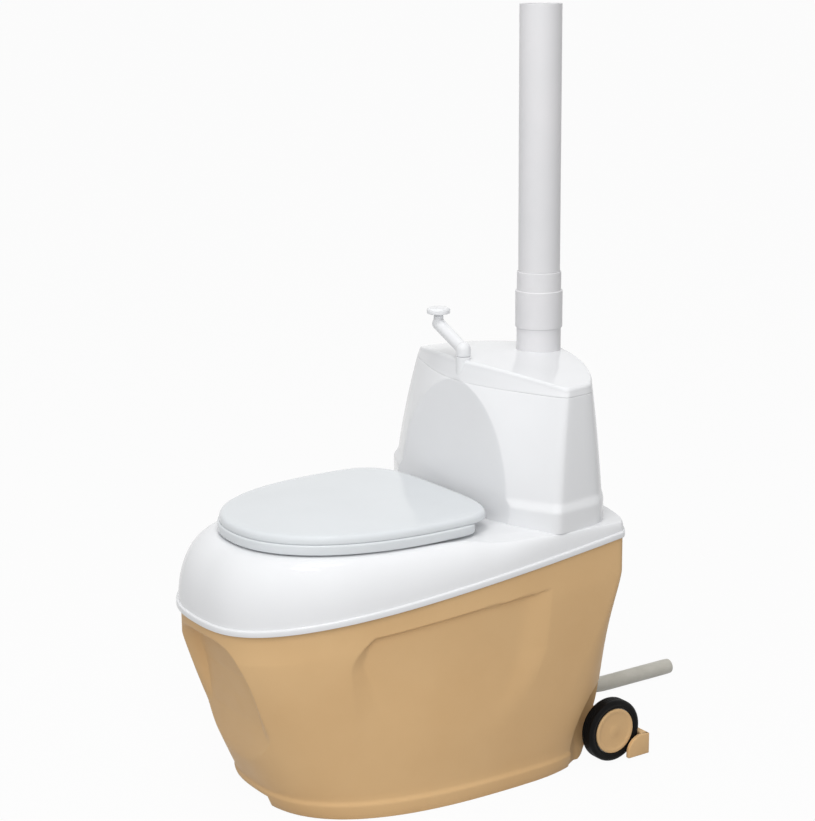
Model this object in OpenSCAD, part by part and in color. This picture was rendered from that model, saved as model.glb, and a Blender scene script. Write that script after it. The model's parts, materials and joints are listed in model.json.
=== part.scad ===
// Composting toilet: tapered tank on a foot ring, lift-off seat deck with a peat
// tower, seat and lid on one hinge line, tower cap with crank and vent pipe,
// two tilt wheels, a rear step and a drain hose. Millimetres, +Z up, front at -Y.
// Origin: floor level, centre of the body's plan box.

/* [Rim] */
// Half the width of the rim flange
rim_half = 263; // [240:1:285]
// Front of the rim flange
rim_front = -389; // [-410:1:-370]
// Rear of the rim flange
rim_rear = 375; // [372:1:385]
// Where the rim is widest
rim_wide_y = 311; // [290:1:325]
// Height of the rim plane above the floor at the origin
rim_z = 391; // [360:1:420]
// Rise of the rim plane per millimetre towards the rear
rim_slope = 0.127; // [0.1:0.001:0.14]
// Height of the rim flange
flange_h = 11; // [9:0.5:14]
// Thickness of the deck moulding
deck_t = 3.5; // [3:0.5:5]

/* [Tank] */
// Half the width of the foot ring
foot_half = 223; // [205:1:235]
// Front of the foot ring
foot_front = -279; // [-300:1:-260]
// Rear of the foot ring
foot_rear = 351; // [330:1:356]
// Where the foot ring is widest
foot_wide_y = 106; // [80:1:130]
// Height of the foot band
foot_h = 28; // [24:1:34]
// How far the foot band stands out from the wall
foot_out = 5; // [3:0.5:7]
// Width of the foot ring's standing face
foot_ring = 14; // [10:1:18]
// Thickness of the tank wall
tank_wall = 5; // [4:0.5:7]
// Height of the tank floor's top face
floor_z = 30; // [27:1:40]
// Depth of the front arch recess
arch_depth = 44; // [10:1:50]
// Half the width of the front arch recess
arch_half = 112; // [80:1:125]
// Depth of the side panels
panel_depth = 11; // [0:0.5:14]
// Height of the toe notch
notch_h = 20; // [12:1:23]
// Left end of the toe notch
notch_left = -150; // [-170:1:-60]
// Right end of the toe notch
notch_right = 45; // [20:1:150]

/* [Wheels] */
// Radius of the tyre
tyre_r = 57; // [50:1:60]
// Width of the tyre
tyre_w = 28; // [24:1:30]
// How far the wheels stand in from the rim
wheel_in = 18; // [13:1:21]
// Wheel centre behind the origin
wheel_y = 317; // [310:1:322]
// Height of the wheel centre
wheel_z = 63.5; // [60:0.5:70]
// Radius of the hub cap
wheel_cap_r = 41; // [34:1:44]
// Radius of the stub axle
axle_r = 6; // [5:0.5:8]
// Depth of the wheel niches from the rim
well_in = 60; // [56:1:63]
// Height of the wheel niches
well_top = 150; // [146:1:156]
// Running clearance of turning fits
run_gap = 0.06; // [0.04:0.01:0.1]

/* [Rear step] */
// How far the rear step's ends stand in from the rim
step_in = 8; // [3:1:11]
// Rear face of the rear step
step_rear = 389; // [387:1:395]
// Lower edge of the rear step
step_low = 8; // [6:1:12]
// Upper edge of the rear step
step_top = 47; // [40:1:55]
// Thickness of the rear step
step_t = 7; // [5:0.5:9]
// Gap between the two halves of the rear step, where the hose passes
step_gap = 150; // [130:2:160]

/* [Drain] */
// Height of the drain spigot
drain_z = 46; // [44:1:50]
// Distance of the drain spigot to the left of the centre line
drain_x = 42; // [30:1:50]
// Bore of the drain spigot
drain_bore = 9; // [7:0.5:9]
// Outer radius of the drain spigot
drain_r = 11.5; // [11:0.5:12.5]
// Outer radius of the drain hose
hose_r = 15; // [14.5:0.5:16]

/* [Deck] */
// Height of the flat plateau that carries the seat
plateau_z = 458; // [454:1:462]
// Half the width of the seat opening
hole_half = 108; // [95:1:115]
// Front of the seat opening
hole_front = -240; // [-255:1:-220]
// Rear of the seat opening
hole_rear = 30; // [10:1:45]

/* [Seat and lid] */
// Half the width of the seat and lid
lid_half = 197.5; // [185:0.5:205]
// Front of the lid
lid_front = -314; // [-325:1:-300]
// Rear of the lid
lid_rear = 110; // [104:1:112]
// Where the lid is widest
lid_wide_y = -30; // [-60:1:0]
// Underside of the seat
seat_z = 468; // [466:0.5:470]
// Thickness of the seat
seat_t = 17.4; // [14:0.2:17.4]
// Gap between seat and lid
lid_gap = 0.4; // [0.3:0.1:1]
// Height of the lid's edge
lid_edge = 14; // [10:0.5:16]
// Rise of the lid's crown above its edge
lid_crown = 6; // [2:0.5:8]
// Half the width of the seat's own opening
ring_half = 112; // [100:1:120]
// Front of the seat's own opening
ring_front = -246; // [-255:1:-235]
// Rear of the seat's own opening
ring_rear = 36; // [20:1:50]
// Hinge line behind the origin
hinge_y = 98; // [94:1:99]
// Height of the hinge line
hinge_z = 475.5; // [474:0.5:477]
// Distance of each hinge post from the centre line
hinge_x = 78; // [65:1:90]
// Radius of the hinge pins
pin_r = 3.5; // [3:0.25:4]

/* [Tower] */
// Height of the seam between tower and cap
seam_z = 686; // [670:1:700]
// Height of the cap's crown
cap_z = 722; // [715:1:730]
// Drop of the cap's edge from the middle to the corners
cap_drop = 21; // [10:1:26]
// Thickness of the tower and cap mouldings
tower_t = 4; // [3:0.5:5]
// Height of the plinth at the tower's foot
plinth_h = 34; // [20:1:45]
// How far the plinth stands out
plinth_out = 7; // [3:0.5:9]

/* [Crank] */
// Crank axis behind the origin
crank_y = 159; // [157:0.5:160]
// Radius of the crank hub
hub_r = 12.7; // [11:0.1:14]
// Throw of the crank
crank_throw = 98; // [70:1:104]
// Rise of the crank arm along its throw
crank_rise = 30; // [15:1:45]
// Radius of the crank arm
arm_r = 10.8; // [8:0.1:12]
// Direction of the parked crank, from +X
crank_angle = 172; // [165:1:180]
// Radius of the crank knob
knob_r = 21.3; // [16:0.1:24]
// Radius of the crank shaft
shaft_r = 6; // [5:0.5:6]

/* [Vent] */
// Outer radius of the vent pipe
pipe_r = 37.5; // [35:0.5:40]
// Wall of the vent pipe
pipe_t = 2; // [1.5:0.1:3]
// Height of the top of the vent pipe
pipe_top = 1335; // [1200:5:1500]
// Vent axis behind the origin
vent_y = 326; // [322:0.5:327]
// Height of the vent coupler's lower edge
coupler_low = 762; // [755:1:770]
// Height of the vent coupler's upper edge
coupler_top = 830; // [820:1:840]
// Radius of the vent coupler
coupler_r = 42.6; // [41.5:0.1:44]
// Height of the pipe socket's upper edge
socket_top = 864; // [850:1:880]

/* [Hidden] */
$fn = 48;

wheel_x = rim_half - wheel_in; // outer face of the wheels
well_x = rim_half - well_in; // inner face of the wheel niches
step_half = rim_half - step_in; // half the length of the rear step

tan_c = [0.80, 0.64, 0.43];
white_c = [0.94, 0.95, 0.96];
inner_c = [0.75, 0.77, 0.78];
black_c = [0.06, 0.06, 0.06];
steel_c = [0.62, 0.63, 0.65];
grey_c = [0.66, 0.65, 0.61];

// ---- shared functions -------------------------------------------------------

function mix(a, b, k) = a + (b - a) * k;
function clamp01(k) = min(1, max(0, k));
function smooth(k) = let (c = clamp01(k)) c * c * (3 - 2 * c);
function power(c, e) = sign(c) * pow(abs(c), e);

// Egg-shaped outline: angle t runs from the front (-90) over the right side (0) to the rear (90)
function egg(t, half, front, rear, wide_y, p_front, p_rear) =
  let (s = sin(t), p = s < 0 ? p_front : p_rear, reach = s < 0 ? wide_y - front : rear - wide_y)
  [half * power(cos(t), 2 / p), wide_y + reach * power(s, 2 / p)];

// Height of the rim plane at a place
function rim_at(y) = rim_z + rim_slope * y;
// The rim outline, moved in by an inset
rim_p_front = 2.68;
rim_p_rear = 1.75;
function rim_xy(t, inset) =
  egg(t, rim_half - inset, rim_front + inset, rim_rear - inset, rim_wide_y, rim_p_front, rim_p_rear);
function rim_pt(t, inset, up) = let (p = rim_xy(t, inset)) [p[0], p[1], rim_at(p[1]) + up];

// Right half of an outline repeated as a full loop, front to rear and back on the left
function mirrored(half) = concat(half,
  [for (i = [len(half) - 2:-1:1]) [-half[i][0], half[i][1], half[i][2]]]);

// A closed skin over loops of points. A ring joins its last loop to its first,
// and an open skin is closed by a fan on each end.
module skin(loops, ring = false) {
  n = len(loops[0]);
  m = len(loops);
  last = ring ? m : m - 1;
  middle = function (q) [for (k = [0:2]) ([for (p = q) p[k]] * [for (p = q) 1]) / len(q)];
  points = concat([for (q = loops) each q], [middle(loops[0]), middle(loops[m - 1])]);
  sides = [
    for (j = [0:last - 1])
      for (i = [0:n - 1])
        let (a = j * n + i, b = j * n + (i + 1) % n, c = (j + 1) % m * n + (i + 1) % n, d = (j + 1) % m * n + i)
          each [[a, c, b], [a, d, c]]
  ];
  ends = ring ? [] : [
    for (i = [0:n - 1])
      each [[m * n, i, (i + 1) % n], [m * n + 1, (m - 1) * n + (i + 1) % n, (m - 1) * n + i]]
  ];
  polyhedron(points = points, faces = concat(sides, ends));
}

module both_sides() {
  children();
  mirror([1, 0, 0]) children();
}

// ---- tank ---------------------------------------------------------------------

tank_inset = 5.5; // the tank wall stands inside the rim flange
tank_up = 5; // the tank edge reaches up into the flange
wall_bulge = 1.28;
straight_v = 0.85; // the wall is upright above this share of its height

// Wall outline at a share v of the wall's height, moved in by an inset
function wall_xy(t, v, inset) =
  let (
    g = 1 - pow(1 - min(v / straight_v, 1), wall_bulge),
    h = smooth((v - 0.25) / 0.6),
    fender = smooth(v / 0.3)
  )
    egg(
      t,
      mix(foot_half - foot_out, rim_half - tank_inset, g) - inset,
      mix(foot_front + foot_out, rim_front + tank_inset, g) + inset,
      mix(mix(foot_rear - foot_out, rim_rear - tank_inset, g), rim_rear - 12, fender * (1 - h)) - inset,
      mix(foot_wide_y, rim_wide_y, g),
      mix(2.33, rim_p_front, g),
      mix(2.77, rim_p_rear, h)
    );

// Panel outlines on the wall, as angles that change with height
function arch_t(v) = -90 + max(4, 22 * pow(1 - pow(clamp01((v - 0.4) / 0.555), 5), 0.625) * arch_half / 112);
function arch_floor_t(v) = mix(-90, arch_t(v), 0.62);
// Depth of the arch recess over the height, as a share of its greatest depth
function arch_share(v) = lookup(v, [
  [0.33, 0], [0.38, 0.12], [0.46, 0.38], [0.54, 0.62], [0.62, 0.84], [0.72, 1], [0.82, 0.93], [0.89, 0.8],
  [0.92, 0.62], [0.955, 0]
]);
function panel_front_t(v) = -43 + 5 * smooth((v - 0.8) / 0.12);
function panel_inner_t(v) = panel_front_t(v) + 6;
function panel_rear_t(v) = mix(-9, -5, smooth((v - 0.4) / 0.4));

// Angles of the wall's columns at a height: they follow the panel outlines
function wall_angles(v) =
  let (keys = [
    [-90, 0], [arch_floor_t(v), 5], [arch_t(v), 1], [panel_front_t(v), 3], [panel_inner_t(v), 2],
    [panel_rear_t(v) - 5, 5], [panel_rear_t(v), 1], [30, 4], [90, 6]
  ])
    concat([-90], [
      for (k = [1:len(keys) - 1])
        for (i = [1:keys[k][1]])
          mix(keys[k - 1][0], keys[k][0], i / keys[k][1])
    ]);
arch_cols = 5; // columns inside the arch recess
panel_cols = [11, 16]; // columns inside a side panel

// How deep the panels are at column i and height share v
function panel_in(i, v) =
  let (side_fade = smooth((v - 0.34) / 0.26) * (v < 0.905 ? 1 : 0))
    i <= arch_cols ? arch_depth * arch_share(v) * (1 - 0.22 * pow(i / arch_cols, 2)) :
    i >= panel_cols[0] && i <= panel_cols[1] ? panel_depth * side_fade : 0;

// One half loop of the wall at a height share
function wall_half(v, inset, panels, z_at) =
  let (a = wall_angles(v))
    [for (i = [0:len(a) - 1])
      let (p = wall_xy(a[i], v, inset + (panels ? panel_in(i, v) : 0))) [p[0], p[1], z_at(p[1])]];

// Inner half loop: it keeps clear of the wheel wells
well_wall = 7;
function cavity_half(v, inset, z_at) =
  let (half = wall_half(v, inset + tank_wall, true, z_at), limit = well_x - well_wall)
    [for (p = half)
      let (low = 1 - smooth((p[2] - well_top) / 40), back = smooth((p[1] - wheel_y + well_front + 50) / 40))
        [mix(p[0], min(p[0], limit), low * back), p[1], p[2]]];
well_front = 76; // the niche starts this far in front of the wheel's centre

module tank_shell() color(tan_c) {
  flat = function (z) function (y) z;
  share = function (v) function (y) v * rim_at(y);
  rows = [0.12, 0.2, 0.3, 0.38, 0.46, 0.54, 0.62, 0.72, 0.82, 0.89, 0.92, 0.955, 0.975];
  foot_v = function (z) z / rim_z;
  outer = concat(
    [mirrored(wall_half(0, foot_ring, false, flat(floor_z - tank_wall)))],
    [mirrored(wall_half(0, foot_ring - foot_out, false, flat(0)))],
    [mirrored(wall_half(0, -foot_out, false, flat(0)))],
    [mirrored(wall_half(foot_v(foot_h - 3), -foot_out + 1.5, false, flat(foot_h - 3)))],
    [mirrored(wall_half(foot_v(foot_h + 3), -1, false, flat(foot_h + 3)))],
    [for (v = rows) mirrored(wall_half(v, 0, true, share(v)))],
    [mirrored(wall_half(1, 0, false, function (y) rim_at(y) + tank_up))]
  );
  inner = concat(
    [mirrored(cavity_half(1, 0, function (y) rim_at(y) + tank_up))],
    [for (v = [0.955, 0.92, 0.89, 0.82, 0.72, 0.62, 0.54, 0.46, 0.38, 0.2]) mirrored(cavity_half(v, 0, share(v)))],
    [mirrored(cavity_half(foot_v(floor_z), 2, flat(floor_z)))]
  );
  difference() {
    union() {
      skin(concat(outer, inner));
      // bosses that hold the stub axles
      both_sides() translate([well_x - boss_len, wheel_y, wheel_z]) rotate([0, 90, 0])
        cylinder(r = boss_r, h = boss_len - 1);
      // pad behind the drain spigot
      along_y(drain_face - drain_pad) cylinder(r = drain_pad_r, h = drain_pad);
      // pads that carry the rear steps
      both_sides() translate([arm_x - arm_half - 3, drain_face - arm_pad, 8])
        cube([2 * arm_half + 6, arm_pad, 36]);
    }
    both_sides() {
      // wheel niche: slanted front edge, open to the rear, the side and below
      translate([well_x, wheel_y, 0]) rotate([90, 0, 90]) linear_extrude(80) polygon([
        [-well_front, -1], [-well_front, 20], [-well_front + 60, well_top - 12], [-well_front + 72, well_top - 3],
        [-well_front + 88, well_top], [100, well_top], [100, -1]
      ]);
      // room for the tyre wherever the wall comes close to it
      translate([wheel_x - tyre_w - wheel_gap, wheel_y, wheel_z]) rotate([0, 90, 0])
        cylinder(r = tyre_r + wheel_gap, h = 80);
      // blind bore for the stub axle
      translate([axle_in, wheel_y, wheel_z]) rotate([0, 90, 0]) cylinder(r = axle_r, h = boss_len);
      // screw holes of the rear steps
      step_screw_places(drain_face - 14) cylinder(r = screw_r, h = 20);
    }
    // toe notch in the foot ring
    translate([notch_left, foot_front - 30, -1]) cube([notch_right - notch_left, 80, notch_h + 1]);
    // bore for the drain spigot
    along_y(drain_face - drain_pad - 20) cylinder(r = drain_r, h = drain_pad + 30);
  }
}
wheel_gap = 4; // least clearance between the tank and the tyres
boss_len = 40;
boss_r = 20;
axle_in = well_x - boss_len + 6; // inner end of the axle's bore
drain_face = foot_rear + 9; // rear face of the pads on the tank
drain_pad = 22;
drain_pad_r = 20;
arm_x = 102; // the rear steps' arms
arm_half = 13;
arm_pad = 24; // depth of the pads that carry the rear steps
screw_r = 2.5;

module along_y(y) translate([-drain_x, y, drain_z]) rotate([-90, 0, 0]) children();
module step_screw_places(y) for (z = [17, 35]) translate([arm_x, y, z]) rotate([-90, 0, 0]) children();

// One half of the rear step: bar behind the wheel, arm to the tank, ear round the tyre
module rear_steps() color(tan_c) both_sides() {
  high = step_top - step_low;
  bar_y = step_rear - step_t;
  ear_t = step_half - ear_x;
  ear_front = wheel_y + 24;
  round_r = 32;
  difference() {
    union() {
      translate([step_gap / 2, bar_y, step_low]) cube([step_half - step_gap / 2, step_t, high]);
      // lip along the top
      translate([step_gap / 2, bar_y - 6, step_top - 4]) cube([step_half - step_gap / 2, 8, 4]);
      // ear with a round front
      translate([ear_x, 0, step_low]) rotate([90, 0, 90]) linear_extrude(ear_t) polygon(concat(
        [[step_rear, 0], [step_rear, high]],
        [for (a = [90:-15:0]) [ear_front + round_r - round_r * cos(a), high - round_r + round_r * sin(a)]],
        [[ear_front, 0]]
      ));
      // arm to the tank
      translate([arm_x - arm_half, drain_face + 0.1, step_low + 2])
        cube([2 * arm_half, bar_y - drain_face, high - 7]);
    }
    // screw holes and the wide bores that the screw heads sink into
    step_screw_places(drain_face - 1) cylinder(r = screw_r + 0.4, h = 60);
    step_screw_places(drain_face + 8) cylinder(r = 2 * screw_r + 0.6, h = 60);
  }
}
ear_x = wheel_x + 2; // inner face of the ears

screw_len = 21;
module step_screws() color(steel_c) both_sides() step_screw_places(drain_face - 12) {
  cylinder(r = screw_r - 0.03, h = screw_len);
  translate([0, 0, screw_len - 0.9]) difference() {
    cylinder(r = 2 * screw_r, h = 3.6);
    translate([0, 0, 1.8]) cylinder(r = screw_r, h = 3, $fn = 6);
  }
}

// Perforated false floor that keeps the compost off the drain
module drain_grate() color(inner_c) {
  gap = 7;
  loop = mirrored(cavity_half((grate_z - 12) / rim_z, gap, function (y) 0));
  hole = 8;
  step = 50;
  difference() {
    union() {
      translate([0, 0, grate_z]) linear_extrude(grate_t) polygon([
        for (p = loop) [sign(p[0]) * min(abs(p[0]), p[1] > 150 ? well_x - 18 : rim_half), p[1]]
      ]);
      for (x = [-120, 0, 120], y = [-170, 0, 170])
        translate([x, y, floor_z]) cylinder(r = 9, h = grate_z - floor_z + 1);
    }
    for (x = [-150:step:150], y = [-195:step:255])
      if (abs(x) + max(0, y - 150) < 230) translate([x + step / 2, y, grate_z - 1]) cylinder(r = hole, h = 6);
    // room for the axle bosses
    both_sides() translate([well_x - boss_len - 4, wheel_y, wheel_z]) rotate([0, 90, 0])
      cylinder(r = boss_r + 2, h = 2 * boss_len);
  }
}
grate_z = 74; // underside of the false floor
grate_t = 4;

// ---- drain ----------------------------------------------------------------------

spigot_in = 14; // the spigot reaches this far into the tank past its nut's seat
nut_y = drain_face - drain_pad;
collar_t = 4; // thickness of the spigot's outer collar
washer_t = 2;
barb_end = drain_face + 28;

module drain_spigot() color(inner_c) along_y(nut_y - spigot_in) rotate_extrude() polygon([
  [drain_bore, 0], [drain_r - run_gap, 0], [drain_r - run_gap, collar_d], [drain_pad_r - 2, collar_d],
  [drain_pad_r - 2, collar_d + collar_t], [drain_r + 0.6, collar_d + collar_t],
  [drain_r, barb_end - nut_y + spigot_in], [drain_bore, barb_end - nut_y + spigot_in]
]);
collar_d = spigot_in + drain_pad + washer_t + 0.2; // start of the collar along the spigot

module drain_washer() color(black_c) along_y(drain_face + 0.1) difference() {
  cylinder(r = drain_pad_r - 3, h = washer_t);
  translate([0, 0, -1]) cylinder(r = drain_r + 0.2, h = washer_t + 2);
}

module drain_nut() color(inner_c) along_y(nut_y - 8.2) difference() {
  cylinder(r = 18, h = 8, $fn = 6);
  translate([0, 0, -1]) cylinder(r = drain_r + 0.05, h = 10);
}

module hose_clamp() color(steel_c) along_y(hose_start + 6) difference() {
  union() {
    cylinder(r = hose_r + 1.3, h = 9);
    translate([-5, -hose_r - 6, 1]) cube([10, 8, 7]);
  }
  translate([0, 0, -1]) cylinder(r = hose_r + 0.2, h = 11);
  translate([-1, -hose_r - 8, -1]) cube([2, 8, 11]);
}

// The hose leaves its spigot, sinks to the floor and lies there up to its cut end
hose_start = nut_y - spigot_in + collar_d + collar_t + 0.1;
hose_route = [
  [-42, hose_start, drain_z], [-42, 376, drain_z], [-42, 390, 46], [-42, 404, 45.4], [-42, 418, 43.6],
  [-42, 433, 40], [-42, 448, 34.8], [-42, 464, 28.6], [-42, 480, 23], [-42, 496, 18.8], [-42, 512, 16.4],
  [-42, 530, 15.6], [-42, 560, 15.5], [-42, 592, 15.5], [-42, 626, 15.5], [-42, 660, 15.5], [-42, 693, 15.5]
];
hose_sides = 12;
function unit(v) = v / norm(v);
function hose_ring(i, r) =
  let (
    last = len(hose_route) - 1,
    f = unit(hose_route[min(i + 1, last)] - hose_route[max(i - 1, 0)]),
    side = unit(cross(f, [0, 0, 1])),
    up = cross(side, f)
  )
    [for (k = [0:hose_sides - 1])
      let (q = k * 360 / hose_sides) hose_route[i] + r * (cos(q) * side + sin(q) * up)];

module drain_hose() color(grey_c) {
  last = len(hose_route) - 1;
  bore_r = (drain_r + 0.8) / cos(180 / hose_sides);
  skin(concat(
    [for (i = [0:last]) hose_ring(i, hose_r)],
    [for (i = [last:-1:0]) hose_ring(i, bore_r)]
  ), ring = true);
}

// ---- wheels ----------------------------------------------------------------------

// Along the wheel's local axis 0 is the outer face and tyre_w the inner one
module at_right() translate([wheel_x, wheel_y, wheel_z]) rotate([0, -90, 0]) children();
module at_wheel(side) {
  if (side < 0) mirror([1, 0, 0]) at_right() children();
  else at_right() children();
}
tyre_seat = tyre_r - 15; // radius where the tyre sits on the hub
hub_in = wheel_x - well_x - 0.4; // inner end of the hub's boss
clip_at = 6.6; // outer face of the axle's clip
cap_t = 4.2;

module tyre(side) color(black_c) at_wheel(side) rotate_extrude($fn = 72) polygon([
  [tyre_seat + 0.05, 2.2], [wheel_cap_r + 3, 0.6], [tyre_r - 7, 0], [tyre_r - 2.5, 2.5], [tyre_r, 7],
  [tyre_r, tyre_w - 7], [tyre_r - 2.5, tyre_w - 2.5], [tyre_r - 7, tyre_w], [tyre_seat + 0.05, tyre_w - 2]
]);

module wheel_hub(side) color(inner_c) at_wheel(side) difference() {
  rotate_extrude() polygon([
    [axle_r + run_gap, clip_at + 1.4], [16, clip_at + 1.4], [16, 14], [tyre_seat - 4, 14],
    [tyre_seat - 4, cap_t + 0.2], [tyre_seat, cap_t + 0.2], [tyre_seat, tyre_w - 3], [tyre_seat - 4, tyre_w - 3],
    [tyre_seat - 4, 18], [16, 18], [16, tyre_w], [12, hub_in], [axle_r + run_gap, hub_in]
  ]);
  // lightening holes in the web
  for (a = [0:60:300]) rotate(a) translate([27, 0, 10]) cylinder(r = 6.5, h = 12);
}

module hub_cap(side) color(tan_c) at_wheel(side) rotate_extrude() polygon([
  [0, 0], [wheel_cap_r - 1.5, 0], [wheel_cap_r, 1.5], [wheel_cap_r, cap_t], [0, cap_t]
]);

module stub_axles() color(steel_c) both_sides() {
  long = wheel_x - cap_t - 0.8 - axle_in - 0.2;
  translate([axle_in + 0.2, wheel_y, wheel_z]) rotate([0, 90, 0]) difference() {
    cylinder(r = axle_r - 0.01, h = long);
    // groove for the clip
    translate([0, 0, wheel_x - clip_at - 1.1 - axle_in - 0.2]) difference() {
      cylinder(r = axle_r + 1, h = 1.2);
      translate([0, 0, -1]) cylinder(r = axle_r - 1.2, h = 4);
    }
  }
}

module axle_clips() color(steel_c) both_sides()
  translate([wheel_x - clip_at - 1, wheel_y, wheel_z]) rotate([0, 90, 0]) difference() {
    cylinder(r = axle_r + 4, h = 1);
    translate([0, 0, -1]) cylinder(r = axle_r - 1.15, h = 3);
    translate([-axle_r + 2, 0, -1]) cube([2 * axle_r - 4, 20, 3]);
  }

// ---- deck ------------------------------------------------------------------------

deck_angles = concat([for (t = [-90:6:-36]) t], [for (t = [-31:5:-1]) t], [for (t = [5:8:77]) t], [84, 90]);
edge_in = 4; // the deck's side starts this far in from the flange's edge
// How far the plateau's edge stands in from the deck's side
function shoulder(t) =
  mix(6, 1.5, smooth(t / 80)) + 66 * smooth((-t - 4) / 20) * (0.55 + 0.45 * t * t / 8100);
function plateau_xy(t, inset) = rim_xy(t, shoulder(t) + edge_in + inset);
function hole_xy(t, out) =
  egg(t, hole_half + out, hole_front - out, hole_rear + out, (hole_front + hole_rear) / 2, 2.2, 2.4);
function hole_pt(t, out, z) = let (p = hole_xy(t, out)) [p[0], p[1], z];
// Side of the deck: from the flange (a = 0) up to the plateau (a = 90)
function deck_pt(t, a, inset, down) =
  let (low = rim_xy(t, edge_in + inset), high = plateau_xy(t, inset), xy = mix(low, high, 1 - cos(a)))
    [xy[0], xy[1], mix(rim_at(low[1]) + flange_h, plateau_z, sin(a)) - down];
function loop_of(f) = mirrored([for (t = deck_angles) f(t)]);

lip_down = 22; // depth of the lip round the seat opening
peat_half = [70, 26]; // half sizes of the peat outlet
peat_y = 205;
duct_r = 35; // outer radius of the vent duct
bush_r = 9;
stud_r = 4;

module seat_deck() color(white_c) difference() {
  skin(concat(
    [loop_of(function (t) rim_pt(t, 0, 0))],
    [loop_of(function (t) rim_pt(t, 0, flange_h - 2.5))],
    [loop_of(function (t) rim_pt(t, 2.5, flange_h))],
    [for (a = [0, 14, 30, 48, 68, 90]) loop_of(function (t) deck_pt(t, a, 0, 0))],
    [loop_of(function (t) hole_pt(t, 5, plateau_z))],
    [loop_of(function (t) hole_pt(t, 0, plateau_z - 5))],
    [loop_of(function (t) hole_pt(t, 0, plateau_z - lip_down))],
    [loop_of(function (t) hole_pt(t, deck_t, plateau_z - lip_down))],
    [loop_of(function (t) hole_pt(t, deck_t, plateau_z - 6))],
    [loop_of(function (t) hole_pt(t, deck_t + 4, plateau_z - deck_t))],
    [for (a = [90, 60, 32, 12]) loop_of(function (t) deck_pt(t, a, 8, deck_t))],
    [loop_of(function (t) rim_pt(t, 13, flange_h - deck_t))],
    [loop_of(function (t) rim_pt(t, deck_t + 1, flange_h - deck_t))],
    [loop_of(function (t) rim_pt(t, deck_t + 1, 0))]
  ), ring = true);
  // peat outlet, shaft bush and vent duct behind the seat
  translate([-peat_half[0], peat_y - peat_half[1], plateau_z - 30])
    cube([2 * peat_half[0], 2 * peat_half[1], 60]);
  translate([0, crank_y, plateau_z - 30]) cylinder(r = bush_r, h = 60);
  translate([0, vent_y, plateau_z - 30]) cylinder(r = duct_r - pipe_t, h = 60);
  // stud holes of the hinge posts
  both_sides() translate([hinge_x, hinge_y, plateau_z - 30]) cylinder(r = stud_r + 0.3, h = 60);
}

// Seal that lies in the flange above the tank's edge
module rim_gasket() color(black_c) skin([
  loop_of(function (t) rim_pt(t, tank_inset + 0.5, tank_up + 0.3)),
  loop_of(function (t) rim_pt(t, tank_inset + 0.5, flange_h - deck_t)),
  loop_of(function (t) rim_pt(t, tank_inset + 5.5, flange_h - deck_t)),
  loop_of(function (t) rim_pt(t, tank_inset + 5.5, tank_up + 0.3))
], ring = true);

// Collar that hangs by its flange in the seat opening
collar_low = 372;
collar_wall = 3;
module splash_collar() color(inner_c) skin([
  loop_of(function (t) hole_pt(t, -0.8, plateau_z - 1)),
  loop_of(function (t) hole_pt(t, 4.9, plateau_z)),
  loop_of(function (t) hole_pt(t, 11, plateau_z)),
  loop_of(function (t) hole_pt(t, 10, plateau_z + 2.5)),
  loop_of(function (t) hole_pt(t, 0, plateau_z + 2.5)),
  loop_of(function (t) hole_pt(t, -collar_wall - 0.8, plateau_z - 2)),
  loop_of(function (t) hole_pt(t, -collar_wall - 10, collar_low)),
  loop_of(function (t) hole_pt(t, -10, collar_low))
], ring = true);

// ---- tower -----------------------------------------------------------------------

cap_edge = cap_z - cap_drop; // height of the cap's corners
flare_low = 512;
function flare(z) = let (u = clamp01((cap_edge - z) / (cap_edge - flare_low))) 1.25 * u - 0.25 * u * u;
function plinth(z) =
  let (u = (z - plateau_z) / plinth_h) plinth_out * (u < 1 ? u : 1 - smooth((z - plateau_z - plinth_h) / 20));
// Front corner, facet end and front middle of the tower's plan at a height
function corner_at(z) = [226.4 + 23.1 * flare(z) + plinth(z), 214.7 - 32.1 * flare(z) - plinth(z)];
function facet_at(z) = [220 + 20 * flare(z) + plinth(z), 267 - 9 * flare(z)];
function nose_at(z) = 88 + 76 * pow(clamp01((z - flare_low) / 210), 1.75) - plinth(z) / 2;
tower_rear = rim_rear - 5.5;
tower_mid = [0, 255]; // the tower's plan is moved in towards this point
// Flat plane behind the raised lid
function recess_at(z) = 134.8 + 0.055 * (z - 520.8);
front_p = 1.6;
function front_y(x, z) = let (c = corner_at(z)) nose_at(z) + (c[1] - nose_at(z)) * pow(abs(x) / c[0], front_p);
function recess_half(z) =
  let (c = corner_at(z), k = (recess_at(z) - nose_at(z)) / (c[1] - nose_at(z)))
    k <= 0 ? 0 : c[0] * pow(k, 1 / front_p);

// Right half of the tower's plan at a height, moved in by an inset, or scaled about its middle
function tower_half(z, inset, z_at, share = 1) =
  let (
    c = corner_at(z), f = facet_at(z), corner_gap = 7,
    edge = max(recess_half(z), 12),
    p = mix(1.38, 1.8, flare(z)),
    xs = concat([for (i = [0:3]) edge * i / 4], [edge - 1.5, edge + 1.5], [for (i = [1:5]) mix(edge, c[0] - corner_gap, i / 5)]),
    front = [for (x = xs) [x, max(front_y(x, z), recess_at(z))]],
    facet = [c + [-1.5, 3.5], mix(c, f, 0.2), mix(c, f, 0.88)],
    rear = [for (a = [8:12:80]) [f[0] * power(cos(a), 2 / p), f[1] + (tower_rear - f[1]) * power(sin(a), 2 / p)]],
    all = concat(front, facet, rear, [[0, tower_rear]])
  )
    [for (q = all)
      let (d = q - tower_mid, s = tower_mid + d * (share - inset / norm(d))) [s[0], s[1], z_at(s[0], s[1])]];
function level(z) = function (x, y) z;

// Crown of the cap's top face
function crown(x, y) = cap_z - cap_drop * pow(x / 226.4, 2) - 10 * pow(max(0, y - 250) / 116, 2);
function under_crown(down) = function (x, y) crown(x, y) - down;

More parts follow.
